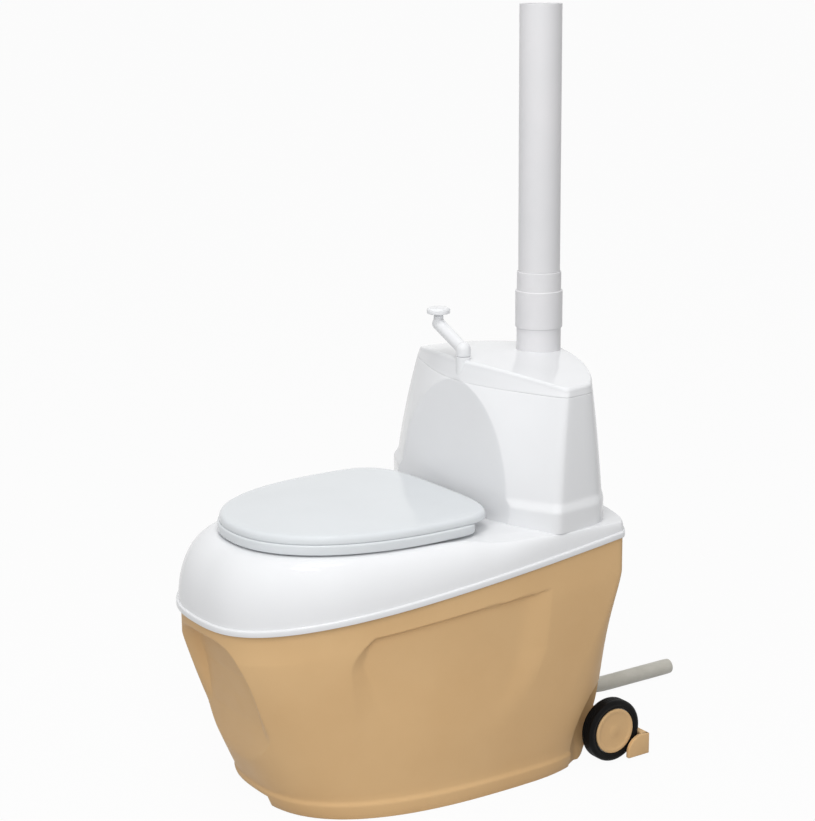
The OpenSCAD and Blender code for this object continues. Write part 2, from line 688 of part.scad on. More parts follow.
module tower_shell() color(white_c) {
  foot = plateau_z + plinth_h;
  outside = [plateau_z, foot, foot + 6, foot + 13, foot + 20, 545, 580, 612, 640, 662, 676, seam_z - 0.3];
  inside = [seam_z - 0.3, 650, 600, 545, 505, plateau_z];
  skin(concat(
    [for (z = outside) mirrored(tower_half(z, 0, level(z)))],
    [for (z = inside) mirrored(tower_half(z, tower_t, level(z)))]
  ), ring = true);
}

module tower_cap() color(white_c) {
  edge = 702;
  rows = [for (k = [0.25, 0.55, 0.8]) k];
  difference() {
    union() {
      skin(concat(
        [for (k = rows) mirrored(tower_half(edge, 0, under_crown(tower_t), k))],
        [mirrored(tower_half(edge, tower_t + 3, under_crown(tower_t)))],
        [mirrored(tower_half(seam_z, tower_t, level(seam_z)))],
        [mirrored(tower_half(seam_z, 0, level(seam_z)))],
        [mirrored(tower_half(edge, -0.3, under_crown(6)))],
        [mirrored(tower_half(edge, 1.4, under_crown(1.8)))],
        [mirrored(tower_half(edge, 6, under_crown(0)))],
        [for (k = [2:-1:0]) mirrored(tower_half(edge, 0, under_crown(0), rows[k]))]
      ));
      // column that carries the crank
      translate([0, crank_y, seam_z]) cylinder(r = column_r, h = column_top - seam_z);
      // raised ring round the vent
      translate([0, vent_y, cap_z - 16]) cylinder(r1 = sleeve_r + 3.4, r2 = sleeve_r + 1.5, h = 15, $fn = 72);
    }
    translate([0, crank_y, seam_z - 1]) cylinder(r = spigot_r + run_gap, h = column_top - seam_z + 2);
    translate([0, vent_y, seam_z - 1]) cylinder(r = sleeve_r + 0.05, h = 60, $fn = 72);
  }
}
column_r = 13.4;
column_top = 727;
spigot_r = 9; // the crank's spigot turns in the column

hopper_wide = 165;
hopper_deep = 54;
hopper_y = 228;
// Inner container that holds the cover material above its outlet
module hopper_bin() color(inner_c) {
  wall = 3;
  foot_half = [peat_half[0] - 1, peat_half[1] - 1];
  top_half = [hopper_wide, hopper_deep];
  top_y = hopper_y;
  low = plateau_z - 8;
  ring_at = function (half, y, z) [
    for (t = [0:15:345]) [half[0] * power(cos(t), 0.5), y + half[1] * power(sin(t), 0.5), z]
  ];
  shrink = [wall, wall];
  skin([
    ring_at(foot_half, peat_y, low),
    ring_at(foot_half, peat_y, plateau_z + 0.1),
    ring_at(foot_half + [6, 6], peat_y, plateau_z + 0.1),
    ring_at(foot_half + [6, 6], peat_y, plateau_z + 3),
    ring_at(foot_half, peat_y, plateau_z + 9),
    ring_at(top_half, top_y, 600),
    ring_at(top_half, top_y, 676),
    ring_at(top_half - shrink, top_y, 676),
    ring_at(top_half - shrink, top_y, 601),
    ring_at(foot_half - shrink, peat_y, plateau_z + 10),
    ring_at(foot_half - shrink, peat_y, low)
  ], ring = true);
}

// ---- vent ------------------------------------------------------------------------

sleeve_r = 40;
sleeve_bore = 37.9;
coupler_mid = coupler_low + 33; // the sleeve's top inside the coupler
duct_top = 700;
module at_vent(z) translate([0, vent_y, z]) children();
module tube(r_out, r_in, h) difference() {
  cylinder(r = r_out, h = h, $fn = 72);
  translate([0, 0, -1]) cylinder(r = r_in, h = h + 2, $fn = 72);
}

module vent_duct() color(inner_c) at_vent(plateau_z + 0.1) tube(duct_r, duct_r - pipe_t, duct_top - plateau_z);
module vent_sleeve() color(white_c) at_vent(seam_z + 2) tube(sleeve_r, sleeve_bore, coupler_mid - seam_z - 2);
module vent_coupler() color(white_c) at_vent(coupler_low) difference() {
  rotate_extrude($fn = 72) polygon([
    [0, 0], [coupler_r - 1.5, 0], [coupler_r, 1.5], [coupler_r, coupler_top - coupler_low - 1.5],
    [coupler_r - 1.5, coupler_top - coupler_low], [0, coupler_top - coupler_low]
  ]);
  translate([0, 0, -1]) cylinder(r = sleeve_r + 0.05, h = 200, $fn = 72);
}
module vent_seal() color(black_c) at_vent(coupler_mid + 0.1) tube(sleeve_r - 0.2, sleeve_bore + 0.1, 2.8);
module pipe_socket() color(white_c) at_vent(coupler_mid + 3) difference() {
  rotate_extrude($fn = 72) polygon([
    [0, 0], [sleeve_r - 0.1, 0], [sleeve_r - 0.1, socket_top - coupler_mid - 4.5],
    [sleeve_r - 1, socket_top - coupler_mid - 3], [0, socket_top - coupler_mid - 3]
  ]);
  translate([0, 0, -1]) cylinder(r = pipe_r - pipe_t, h = 200, $fn = 72);
  translate([0, 0, 3]) cylinder(r = pipe_r - spigot_step + run_gap, h = 200, $fn = 72);
}
module vent_pipe() color(white_c) at_vent(pipe_low) difference() {
  union() {
    cylinder(r = pipe_r - spigot_step, h = pipe_top - pipe_low, $fn = 72);
    translate([0, 0, socket_top + 0.2 - pipe_low]) cylinder(r = pipe_r, h = pipe_top - socket_top - 0.2, $fn = 72);
  }
  translate([0, 0, -1]) cylinder(r = pipe_r - pipe_t, h = pipe_top, $fn = 72);
}
spigot_step = 0.4; // the pipe's lower end is this much slimmer
pipe_low = coupler_mid + 6.3;

// ---- seat and lid ------------------------------------------------------------------

seat_out = 2.8; // the seat stands out from the lid
seat_top = seat_z + seat_t;
lid_low = seat_top + lid_gap;
function lid_xy(t, inset) =
  egg(t, lid_half - inset, lid_front + inset, lid_rear - inset, lid_wide_y, 2.2, 4);
function lid_pt(t, inset, z) = let (p = lid_xy(t, inset)) [p[0], p[1], z];
function ring_xy(t, inset, z) =
  let (p = egg(t, ring_half - inset, ring_front + inset, ring_rear - inset, (ring_front + ring_rear) / 2, 2.2, 2.4))
    [p[0], p[1], z];
lid_angles = concat([for (t = [-90:7.5:0]) t], [for (t = [6:9:78]) t], [84, 90]);
function lid_loop(f) = mirrored([for (t = lid_angles) f(t)]);

notch_half = 12; // half the width of the notch round each hinge post
notch_front = 12; // the notch reaches this far in front of the hinge line
knuckle_r = 8.3;
pin_half = 24;

module at_hinge(x) translate([x, hinge_y, hinge_z]) rotate([0, 90, 0]) children();

module seat_ring() color(white_c) difference() {
  skin([
    lid_loop(function (t) lid_pt(t, -seat_out + 2, seat_z)),
    lid_loop(function (t) lid_pt(t, -seat_out, seat_z + 2)),
    lid_loop(function (t) lid_pt(t, -seat_out, seat_top - 2.5)),
    lid_loop(function (t) lid_pt(t, -seat_out + 2.5, seat_top)),
    lid_loop(function (t) lid_pt(t, 14, seat_top)),
    lid_loop(function (t) ring_xy(t, -22, seat_top - 1.5)),
    lid_loop(function (t) ring_xy(t, -5, seat_top - 5)),
    lid_loop(function (t) ring_xy(t, 0, seat_z + 8)),
    lid_loop(function (t) ring_xy(t, -2, seat_z))
  ], ring = true);
  both_sides() {
    translate([hinge_x - notch_half, hinge_y - notch_front, seat_z - 1]) cube([2 * notch_half, 60, seat_t + 2]);
    at_hinge(hinge_x - pin_half - 0.5) cylinder(r = pin_r + 0.02, h = 2 * pin_half + 1);
  }
  // rear edge rounded about the hinge line, where the open lid swings past
  difference() {
    translate([-lid_half, hinge_y, seat_z - 1]) cube([2 * lid_half, 60, seat_t + 2]);
    at_hinge(-lid_half - 1) cylinder(r = seat_top - hinge_z - 0.3, h = 2 * lid_half + 2);
  }
}

module seat_buffers() color(black_c) {
  tall = seat_z - plateau_z - 0.3;
  for (t = [-62, -8]) both_sides() let (p = lid_xy(t, 24))
    translate([p[0], p[1], seat_z - tall]) cylinder(r1 = 7, r2 = 8, h = tall);
}

module seat_lid() color(white_c)
    skin(concat(
      [for (k = [0.3, 0.7]) lid_loop(function (t) let (p = lid_xy(t, 0)) [p[0] * k, mix(lid_mid, p[1], k), lid_low + lid_edge + lid_crown * (1 - k * k) - lid_t])],
      [lid_loop(function (t) lid_pt(t, lid_t + 6, lid_low + lid_edge - lid_t))],
      [lid_loop(function (t) lid_pt(t, lid_t, lid_low + 5))],
      [lid_loop(function (t) lid_pt(t, lid_t, lid_low))],
      [lid_loop(function (t) lid_pt(t, 0.8, lid_low))],
      [lid_loop(function (t) lid_pt(t, 0, lid_low + 1))],
      [lid_loop(function (t) lid_pt(t, 0.5, lid_low + 7))],
      [lid_loop(function (t) lid_pt(t, 3, lid_low + lid_edge - 3))],
      [lid_loop(function (t) lid_pt(t, 8, lid_low + lid_edge))],
      [for (k = [0.7, 0.3]) lid_loop(function (t) let (p = lid_xy(t, 0)) [p[0] * k, mix(lid_mid, p[1], k), lid_low + lid_edge + lid_crown * (1 - k * k)])]
    ));

// Knuckles that carry the lid beside the hinge posts
module lid_knuckles() color(white_c) both_sides() difference() {
  union() {
    at_hinge(hinge_x + 1) cylinder(r = knuckle_r, h = 10);
    translate([hinge_x + 1, hinge_y - 6, hinge_z]) cube([10, 6.4, lid_low + lid_edge - lid_t - hinge_z - 0.04]);
  }
  at_hinge(hinge_x - 1) cylinder(r = pin_r + run_gap, h = 20);
}
lid_t = 3.5;
lid_mid = -100;

module lid_buffers() color(black_c) for (t = [-60, -10]) both_sides() let (p = lid_xy(t, 20))
  translate([p[0], p[1], seat_top + 0.3]) cylinder(r = 6, h = lid_low + lid_edge - lid_t - seat_top - 0.4);

// Posts with a stud through the deck
module hinge_posts() color(white_c) both_sides() difference() {
  union() {
    at_hinge(hinge_x - 11) cylinder(r = knuckle_r, h = 10);
    translate([hinge_x - 11, hinge_y - knuckle_r, plateau_z + 0.1]) cube([10, 2 * knuckle_r, hinge_z - plateau_z]);
    translate([hinge_x - 11, hinge_y - 9, plateau_z + 0.1]) cube([22, 18, 3]);
    translate([hinge_x, hinge_y, plateau_z - 18]) cylinder(r = stud_r, h = 20);
  }
  at_hinge(hinge_x - 20) cylinder(r = pin_r + run_gap, h = 40);
}

module hinge_pins() color(steel_c) both_sides() at_hinge(hinge_x - pin_half) cylinder(r = pin_r, h = 2 * pin_half);

module hinge_nuts() color(inner_c) both_sides() translate([hinge_x, hinge_y, plateau_z - deck_t - 8.2]) difference() {
  cylinder(r = 9, h = 8, $fn = 6);
  translate([0, 0, -1]) cylinder(r = stud_r + 0.05, h = 10);
}

// ---- crank -----------------------------------------------------------------------

drive_half = 2.5; // half the width of the square drive pin
spindle_low = seam_z + 0.4; // lower end of the crank's spindle in the cap's column
drive_low = seam_z - 22; // lower end of the drive pin, in the shaft's socket
drive_up = 24; // the drive pin reaches this far up into the spindle
shaft_top = seam_z - 3;
crank_low = column_top + 0.3;
crank_mid = crank_low + hub_r - 1;
arm_end = [crank_throw * cos(crank_angle), crank_throw * sin(crank_angle), crank_rise];
module at_crank(z) translate([0, crank_y, z]) children();
module at_grip(z) translate([arm_end[0], crank_y + arm_end[1], z]) children();
stem_r = 6.5;
grip_z = crank_mid + crank_rise;
knob_low = grip_z + arm_r + 7;
knob_h = 11;

module crank_arm() color(white_c) difference() {
  union() {
    // spindle and round-topped hub
    at_crank(spindle_low) rotate_extrude() polygon(concat(
      [[0, 0], [spigot_r, 0], [spigot_r, crank_low - spindle_low], [hub_r, crank_low - spindle_low]],
      [for (a = [0:15:75]) [hub_r * cos(a), crank_mid - spindle_low + hub_r * sin(a)]],
      [[0, crank_mid - spindle_low + hub_r]]
    ));
    // arm with a round end
    at_crank(crank_mid) rotate([0, acos(crank_rise / norm(arm_end)), crank_angle]) rotate_extrude() polygon(concat(
      [[0, 2], [arm_r - 0.6, 2]],
      [for (a = [0:15:75]) [arm_r * cos(a), norm(arm_end) + arm_r * sin(a)]],
      [[0, norm(arm_end) + arm_r]]
    ));
  }
  // square socket that holds the drive pin
  at_crank(spindle_low - 1) translate([-drive_half - 0.02, -drive_half - 0.02, 0])
    cube([2 * drive_half + 0.04, 2 * drive_half + 0.04, drive_up + 1.3]);
  // seat of the stem
  at_grip(grip_z) cylinder(r = stem_r, h = 40);
}

module crank_stem() color(steel_c) {
  at_grip(grip_z + 0.1) cylinder(r = stem_r - 0.02, h = knob_low - grip_z - 0.3);
  at_grip(knob_low - 0.5) cylinder(r = stem_r - 2.5, h = 8.5);
}

module crank_knob() color(white_c) at_grip(knob_low) difference() {
  rotate_extrude() polygon([
    [0, 0], [knob_r - 2, 0], [knob_r, 2], [knob_r, 5.5], [knob_r - 1.5, 8], [knob_r - 5, 9.8],
    [knob_r - 12, knob_h - 0.2], [0, knob_h]
  ]);
  translate([0, 0, -1]) cylinder(r = stem_r - 2.5 + run_gap, h = 9.5);
}

// Square pin that is fixed in the spindle and drives the shaft, and leaves it when the cap is lifted
module drive_pin() color(steel_c) at_crank(drive_low) translate([-drive_half, -drive_half, 0])
  cube([2 * drive_half, 2 * drive_half, spindle_low + drive_up - drive_low]);

module crank_shaft() color(steel_c) difference() {
  at_crank(spreader_z - 4) cylinder(r = shaft_r, h = shaft_top - spreader_z + 4);
  // square socket that takes the drive pin
  at_crank(drive_low - 2) translate([-drive_half - 0.25, -drive_half - 0.25, 0])
    cube([2 * drive_half + 0.5, 2 * drive_half + 0.5, shaft_top - drive_low + 3]);
}
spreader_z = 434;

module shaft_bush() color(black_c) at_crank(plateau_z - 7) difference() {
  union() {
    cylinder(r = bush_r - 0.03, h = 8);
    translate([0, 0, 7.1]) cylinder(r = bush_r + 4, h = 3);
  }
  translate([0, 0, -1]) cylinder(r = shaft_r + run_gap, h = 20);
}

// Paddle that sweeps the cover material off the outlet
module peat_spreader() color(inner_c) at_crank(spreader_z) difference() {
  union() {
    cylinder(r = 13, h = 11);
    for (a = [20, 160]) rotate(a) {
      translate([9, -2, 1]) cube([73, 4, 9]);
      translate([9, -10, 0.5]) cube([71, 20, 2.5]);
    }
  }
  translate([0, 0, -1]) cylinder(r = shaft_r + 0.02, h = 20);
}

// ---- assembly --------------------------------------------------------------------

tank_shell();
rear_steps();
step_screws();
drain_grate();
drain_spigot();
drain_nut();
drain_washer();
hose_clamp();
drain_hose();
stub_axles();
axle_clips();
tyre(1);  // tyre_right
wheel_hub(1);  // wheel_hub_right
hub_cap(1);  // hub_cap_right
tyre(-1);  // tyre_left
wheel_hub(-1);  // wheel_hub_left
hub_cap(-1);  // hub_cap_left
seat_deck();
rim_gasket();
splash_collar();
tower_shell();
hopper_bin();
vent_duct();
hinge_posts();
hinge_pins();
hinge_nuts();
shaft_bush();
seat_ring();
seat_buffers();
seat_lid();
lid_knuckles();
lid_buffers();
tower_cap();
vent_sleeve();
vent_coupler();
vent_seal();
vent_pipe();
pipe_socket();
crank_arm();
drive_pin();
crank_stem();
crank_knob();
crank_shaft();
peat_spreader();
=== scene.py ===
"""Composting toilet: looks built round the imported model. Lengths in the shape functions
are millimetres, as in the CAD source, and turn into metres where a mesh is made. The
angle t of a plan curve runs in degrees, from -90 at the front to 90 at the rear."""
import json
import math

import bpy
import bmesh
from mathutils import Matrix, Vector


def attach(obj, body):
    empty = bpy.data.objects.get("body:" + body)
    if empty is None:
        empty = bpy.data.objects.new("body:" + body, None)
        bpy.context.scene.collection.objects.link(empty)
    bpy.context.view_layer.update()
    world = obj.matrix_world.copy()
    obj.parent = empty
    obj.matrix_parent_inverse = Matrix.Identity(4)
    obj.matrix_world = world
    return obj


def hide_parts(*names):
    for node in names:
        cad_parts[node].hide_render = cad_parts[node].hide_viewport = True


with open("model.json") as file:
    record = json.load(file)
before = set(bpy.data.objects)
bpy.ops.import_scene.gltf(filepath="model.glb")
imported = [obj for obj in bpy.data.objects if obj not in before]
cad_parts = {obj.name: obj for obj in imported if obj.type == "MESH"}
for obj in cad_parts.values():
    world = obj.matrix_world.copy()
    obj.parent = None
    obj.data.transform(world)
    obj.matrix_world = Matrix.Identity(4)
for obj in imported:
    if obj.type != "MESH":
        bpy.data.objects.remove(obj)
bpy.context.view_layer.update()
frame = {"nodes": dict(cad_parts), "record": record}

MM = 0.001


# ---- camera -------------------------------------------------------------------

CAMERA_AT = (2.7319, -1.7689, 1.4255)
CAMERA_YAW = 56.50
CAMERA_PITCH = 13.40
CAMERA_ROLL = -0.52
CAMERA_LENS = 84.58


def cosd(a):
    return math.cos(math.radians(a))


def sind(a):
    return math.sin(math.radians(a))


def add_camera():
    level = cosd(CAMERA_PITCH)
    ahead = Vector((-sind(CAMERA_YAW) * level, cosd(CAMERA_YAW) * level, -sind(CAMERA_PITCH)))
    side = Vector((cosd(CAMERA_YAW), sind(CAMERA_YAW), 0))
    above = side.cross(ahead)
    right = cosd(CAMERA_ROLL) * side + sind(CAMERA_ROLL) * above
    up = -sind(CAMERA_ROLL) * side + cosd(CAMERA_ROLL) * above
    data = bpy.data.cameras.new("camera")
    data.lens = CAMERA_LENS
    data.sensor_width = 36
    cam = bpy.data.objects.new("camera", data)
    bpy.context.scene.collection.objects.link(cam)
    turn = Matrix((right, up, -ahead)).transposed().to_4x4()
    cam.matrix_world = Matrix.Translation(CAMERA_AT) @ turn
    bpy.context.scene.camera = cam


add_camera()


# ---- mesh helpers ---------------------------------------------------------------

CREASE = 35  # edges sharper than this many degrees stay sharp


def mix(a, b, k):
    return a + (b - a) * k


def clamp01(k):
    return min(1.0, max(0.0, k))


def smooth(k):
    c = clamp01(k)
    return c * c * (3 - 2 * c)


def power(c, e):
    return math.copysign(abs(c) ** e, c)


def lookup(x, table):
    """Straight lines between the pairs of a table."""
    if x <= table[0][0]:
        return table[0][1]
    for (x0, y0), (x1, y1) in zip(table, table[1:]):
        if x <= x1:
            return mix(y0, y1, (x - x0) / (x1 - x0))
    return table[-1][1]


def spaced(lo, hi, n):
    return [mix(lo, hi, i / (n - 1)) for i in range(n)]


def arc(cx, cy, r, a0, a1, n):
    """Points of an arc in a profile plane, angles in degrees."""
    return [(cx + r * cosd(a), cy + r * sind(a)) for a in spaced(a0, a1, n)]


def mirrored(half):
    """A closed loop from its right half."""
    return half + [(-x, y, z) for x, y, z in half[-2:0:-1]]


def shade(obj, crease=CREASE):
    """Smooth shading, except at edges sharper than the crease."""
    for p in obj.data.polygons:
        p.use_smooth = True
    obj.data.set_sharp_from_angle(angle=math.radians(crease))


def make(name, verts, faces, crease=CREASE, scale=MM):
    mesh = bpy.data.meshes.new(name)
    mesh.from_pydata([(x * scale, y * scale, z * scale) for x, y, z in verts], [], faces)
    mesh.validate()
    bm = bmesh.new()
    bm.from_mesh(mesh)
    bmesh.ops.recalc_face_normals(bm, faces=bm.faces)
    bm.to_mesh(mesh)
    bm.free()
    obj = bpy.data.objects.new(name, mesh)
    bpy.context.scene.collection.objects.link(obj)
    shade(obj, crease)
    return obj


def apply_modifiers(obj):
    graph = bpy.context.evaluated_depsgraph_get()
    mesh = bpy.data.meshes.new_from_object(obj.evaluated_get(graph))
    old = obj.data
    obj.modifiers.clear()
    obj.data = mesh
    mesh.name = obj.name
    bpy.data.meshes.remove(old)


def skin(name, loops, ring=False, crease=CREASE):
    """A skin over closed loops with equal counts. A ring joins the last loop to the first."""
    n, m = len(loops[0]), len(loops)
    verts = [p for loop in loops for p in loop]
    faces = []
    for j in range(m if ring else m - 1):
        for i in range(n):
            a, b = j * n + i, j * n + (i + 1) % n
            c, d = (j + 1) % m * n + (i + 1) % n, (j + 1) % m * n + i
            faces.append((a, b, c, d))
    if not ring:
        for loop, base in ((loops[0], 0), (loops[-1], (m - 1) * n)):
            verts.append(tuple(sum(p[k] for p in loop) / n for k in range(3)))
            for i in range(n):
                tri = (len(verts) - 1, base + (i + 1) % n, base + i)
                faces.append(tri if base == 0 else tri[::-1])
    return make(name, verts, faces, crease)


def lathe(name, profile, place=(0, 0, 0), axis="z", sides=96, crease=CREASE):
    """A closed profile of (radius, height) pairs turned about an axis through a place."""
    verts, faces, rows = [], [], []
    for r, h in profile:
        if r < 1e-6:
            rows.append([len(verts)])
            verts.append((0, 0, h))
        else:
            rows.append(list(range(len(verts), len(verts) + sides)))
            turns = [2 * math.pi * k / sides for k in range(sides)]
            verts += [(r * math.cos(q), r * math.sin(q), h) for q in turns]
    pairs = list(zip(rows, rows[1:]))
    if len(rows[0]) > 1 and len(rows[-1]) > 1:
        pairs.append((rows[-1], rows[0]))
    for a, b in pairs:
        if len(a) == 1 and len(b) == 1:
            continue
        for k in range(sides):
            k2 = (k + 1) % sides
            if len(a) == 1:
                faces.append((a[0], b[k], b[k2]))
            elif len(b) == 1:
                faces.append((a[k], a[k2], b[0]))
            else:
                faces.append((a[k], a[k2], b[k2], b[k]))
    if axis == "x":
        verts = [(h, x, y) for x, y, h in verts]
    elif axis == "-x":
        verts = [(-h, x, y) for x, y, h in verts]
    elif axis == "y":
        verts = [(x, h, y) for x, y, h in verts]
    px, py, pz = place
    return make(name, [(x + px, y + py, z + pz) for x, y, z in verts], faces, crease)


def rod(name, r, low, high, place, axis="z", sides=48):
    """A solid round bar between two heights on an axis."""
    return lathe(name, [(0, low), (r, low), (r, high), (0, high)], place, axis, sides)


def block(name, lo, hi):
    (a, b, c), (d, e, f) = lo, hi
    verts = [(a, b, c), (d, b, c), (d, e, c), (a, e, c), (a, b, f), (d, b, f), (d, e, f), (a, e, f)]
    faces = [(0, 3, 2, 1), (4, 5, 6, 7), (0, 1, 5, 4), (1, 2, 6, 5), (2, 3, 7, 6), (3, 0, 4, 7)]
    return make(name, verts, faces)


def prism(name, near, far):
    """A solid between two outlines with equal counts of points."""
    n = len(near)
    faces = [tuple(range(n)), tuple(range(2 * n - 1, n - 1, -1))]
    faces += [(i, (i + 1) % n, n + (i + 1) % n, n + i) for i in range(n)]
    return make(name, near + far, faces)


def cut(obj, *cutters):
    for c in cutters:
        mod = obj.modifiers.new("cut", "BOOLEAN")
        mod.operation = "DIFFERENCE"
        mod.solver = "EXACT"
        mod.object = c
    apply_modifiers(obj)
    for c in cutters:
        bpy.data.objects.remove(c)


def rounded(obj, width, angle=40):
    mod = obj.modifiers.new("round", "BEVEL")
    mod.width = width * MM
    mod.segments = 3
    mod.limit_method = "ANGLE"
    mod.angle_limit = math.radians(angle)
    apply_modifiers(obj)
    return obj


def join(name, objs):
    """One object with the meshes of several."""
    verts, faces = [], []
    for o in objs:
        base = len(verts)
        verts += [tuple(v.co / MM) for v in o.data.vertices]
        faces += [tuple(base + i for i in p.vertices) for p in o.data.polygons]
        bpy.data.objects.remove(o)
    return make(name, verts, faces)


# ---- materials ------------------------------------------------------------------

def srgb(r, g, b):
    def lin(c):
        c /= 255
        return c / 12.92 if c <= 0.04045 else ((c + 0.055) / 1.055) ** 2.4
    return (lin(r), lin(g), lin(b), 1)


def shader(name, tones, tone_scale, rough, rough_scale, bumps, **sockets):
    """Moulded surface: tones and roughness from noise, bumps as (scale, distance mm, detail)."""
    mat = bpy.data.materials.new(name)
    mat.use_nodes = True
    nodes, links = mat.node_tree.nodes, mat.node_tree.links
    bsdf = nodes["Principled BSDF"]
    place = nodes.new("ShaderNodeTexCoord").outputs["Object"]

    def noise(scale, detail):
        n = nodes.new("ShaderNodeTexNoise")
        n.inputs["Scale"].default_value = scale
        n.inputs["Detail"].default_value = detail
        links.new(place, n.inputs["Vector"])
        return n.outputs["Fac"]

    ramp = nodes.new("ShaderNodeValToRGB")
    for element, position, tone in zip(ramp.color_ramp.elements, (0.3, 0.7), tones):
        element.position = position
        element.color = srgb(*tone)
    links.new(noise(tone_scale, 4), ramp.inputs["Fac"])
    links.new(ramp.outputs["Color"], bsdf.inputs["Base Color"])
    span = nodes.new("ShaderNodeMapRange")
    span.inputs["To Min"].default_value = rough[0]
    span.inputs["To Max"].default_value = rough[1]
    links.new(noise(rough_scale, 3), span.inputs["Value"])
    links.new(span.outputs["Result"], bsdf.inputs["Roughness"])
    last = None
    for scale, distance, detail in bumps:
        bump = nodes.new("ShaderNodeBump")
        bump.inputs["Distance"].default_value = distance * MM
        bump.inputs["Strength"].default_value = 1.0
        links.new(noise(scale, detail), bump.inputs["Height"])
        if last:
            links.new(last, bump.inputs["Normal"])
        last = bump.outputs["Normal"]
    links.new(last, bsdf.inputs["Normal"])
    for key, value in sockets.items():
        bsdf.inputs[key.replace("_", " ")].default_value = value
    return mat


TAN = shader("tan_moulded", [(215, 177, 128), (220, 183, 134)], 7, (0.46, 0.60), 35,
             [(620, 0.035, 3), (9, 0.5, 2)], Specular_IOR_Level=0.35)
WHITE = shader("white_gloss", [(228, 229, 231), (232, 233, 235)], 5, (0.07, 0.12), 18,
               [(7, 0.35, 2), (900, 0.003, 2)])
SEAT = shader("seat_gloss", [(214, 218, 221), (218, 222, 225)], 6, (0.05, 0.09), 20,
              [(5, 0.25, 1), (1100, 0.002, 2)])
PIPE = shader("pipe_white", [(220, 220, 222), (225, 224, 226)], 8, (0.30, 0.40), 30,
              [(260, 0.01, 2)])
INNER = shader("inner_grey", [(196, 199, 202), (204, 206, 208)], 9, (0.42, 0.55), 30,
               [(500, 0.02, 2)])
TYRE = shader("tyre_black", [(7, 6, 6), (13, 12, 12)], 60, (0.38, 0.6), 45,
              [(700, 0.05, 3), (60, 0.15, 3)], Specular_IOR_Level=0.12)
SEAL = shader("seal_black", [(26, 26, 27), (34, 34, 34)], 40, (0.6, 0.75), 60,
              [(600, 0.03, 2)])
HOSE = shader("hose_grey", [(198, 196, 186), (208, 206, 197)], 30, (0.38, 0.5), 50,
              [(350, 0.03, 3)])
STEEL = shader("zinc_steel", [(158, 160, 164), (176, 178, 181)], 90, (0.24, 0.38), 160,
               [(900, 0.01, 2)], Metallic=1.0)

MATERIAL_OF = {"tank_plastic": TAN, "white_plastic": WHITE, "pipe_plastic": PIPE, "inner_plastic": INNER,
               "tyre_rubber": TYRE, "seal_rubber": SEAL, "hose_plastic": HOSE, "steel": STEEL}
NODE_SLOT = {p["node"]: p["material_slot"] for p in frame["record"]["subparts"]}
NODE_BODY = {n: b for b, names in frame["record"]["behaviour"]["bodies"].items() for n in names}


def paint(obj, mat):
    obj.data.materials.clear()
    obj.data.materials.append(mat)


def stand_for(obj, node, mat=None):
    """The piece takes the node's place, body and slot."""
    paint(obj, mat or MATERIAL_OF[NODE_SLOT[node]])
    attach(obj, NODE_BODY[node])
    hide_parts(node)


def extra(obj, node):
    """A further piece on a node's body, in the node's slot."""
    paint(obj, MATERIAL_OF[NODE_SLOT[node]])
    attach(obj, NODE_BODY[node])


# ---- drain hose -------------------------------------------------------------------

FOOT_REAR = 351
DRAIN_X = 42
DRAIN_Z = 46
DRAIN_PAD = 22  # depth of the pad that carries the spigot
DRAIN_FACE = FOOT_REAR + 9  # rear face of the pads on the tank
WASHER_T = 2
COLLAR_T = 4
HOSE_START = DRAIN_FACE + WASHER_T + 0.2 + COLLAR_T + 0.1
HOSE_R = 15
HOSE_BORE = 12.4
HOSE_SIDES = 40
HOSE_ROUTE = [
    (-42, HOSE_START, 46), (-42, 376, 46), (-42, 390, 46), (-42, 404, 45.4), (-42, 418, 43.6),
    (-42, 433, 40), (-42, 448, 34.8), (-42, 464, 28.6), (-42, 480, 23), (-42, 496, 18.8),
    (-42, 512, 16.4), (-42, 530, 15.6), (-42, 560, 15.5), (-42, 592, 15.5), (-42, 626, 15.5),
    (-42, 660, 15.5), (-42, 693, 15.5)]


def tube_rings(route, radius_at):
    """Rings round the points of a route. The radius is a function of the point's number."""
    rings = []
    for i, p in enumerate(route):
        a, b = Vector(route[max(i - 1, 0)]), Vector(route[min(i + 1, len(route) - 1)])
        ahead = (b - a).normalized()
        side = ahead.cross(Vector((0, 0, 1))).normalized()
        above = side.cross(ahead)
        turns = [2 * math.pi * k / HOSE_SIDES for k in range(HOSE_SIDES)]
        rings.append([tuple(Vector(p) + radius_at(i) * (math.cos(q) * side + math.sin(q) * above))
                      for q in turns])
    return rings


def finer(route, parts):
    """More points on a route, on a smooth curve through its points."""
    out = []
    pts = [Vector(p) for p in route]
    for i in range(len(pts) - 1):
        p0, p1, p2, p3 = pts[max(i - 1, 0)], pts[i], pts[i + 1], pts[min(i + 2, len(pts) - 1)]
        for k in range(parts):
            t = k / parts
            out.append(tuple(0.5 * (2 * p1 + (p2 - p0) * t + (2 * p0 - 5 * p1 + 4 * p2 - p3) * t * t
                                    + (3 * p1 - p0 - 3 * p2 + p3) * t ** 3)))
    return out + [tuple(pts[-1])]


def drain_hose():
    route = finer(HOSE_ROUTE, 3)
    last = len(route) - 1
    outer = tube_rings(route, lambda i: HOSE_R - (0.6 if i == last else 0))
    inner = tube_rings(route, lambda i: HOSE_BORE)[::-1]
    obj = skin("hose_tube", outer + inner, ring=True)
    stand_for(obj, "drain_hose")


drain_hose()


# ---- tank -------------------------------------------------------------------------

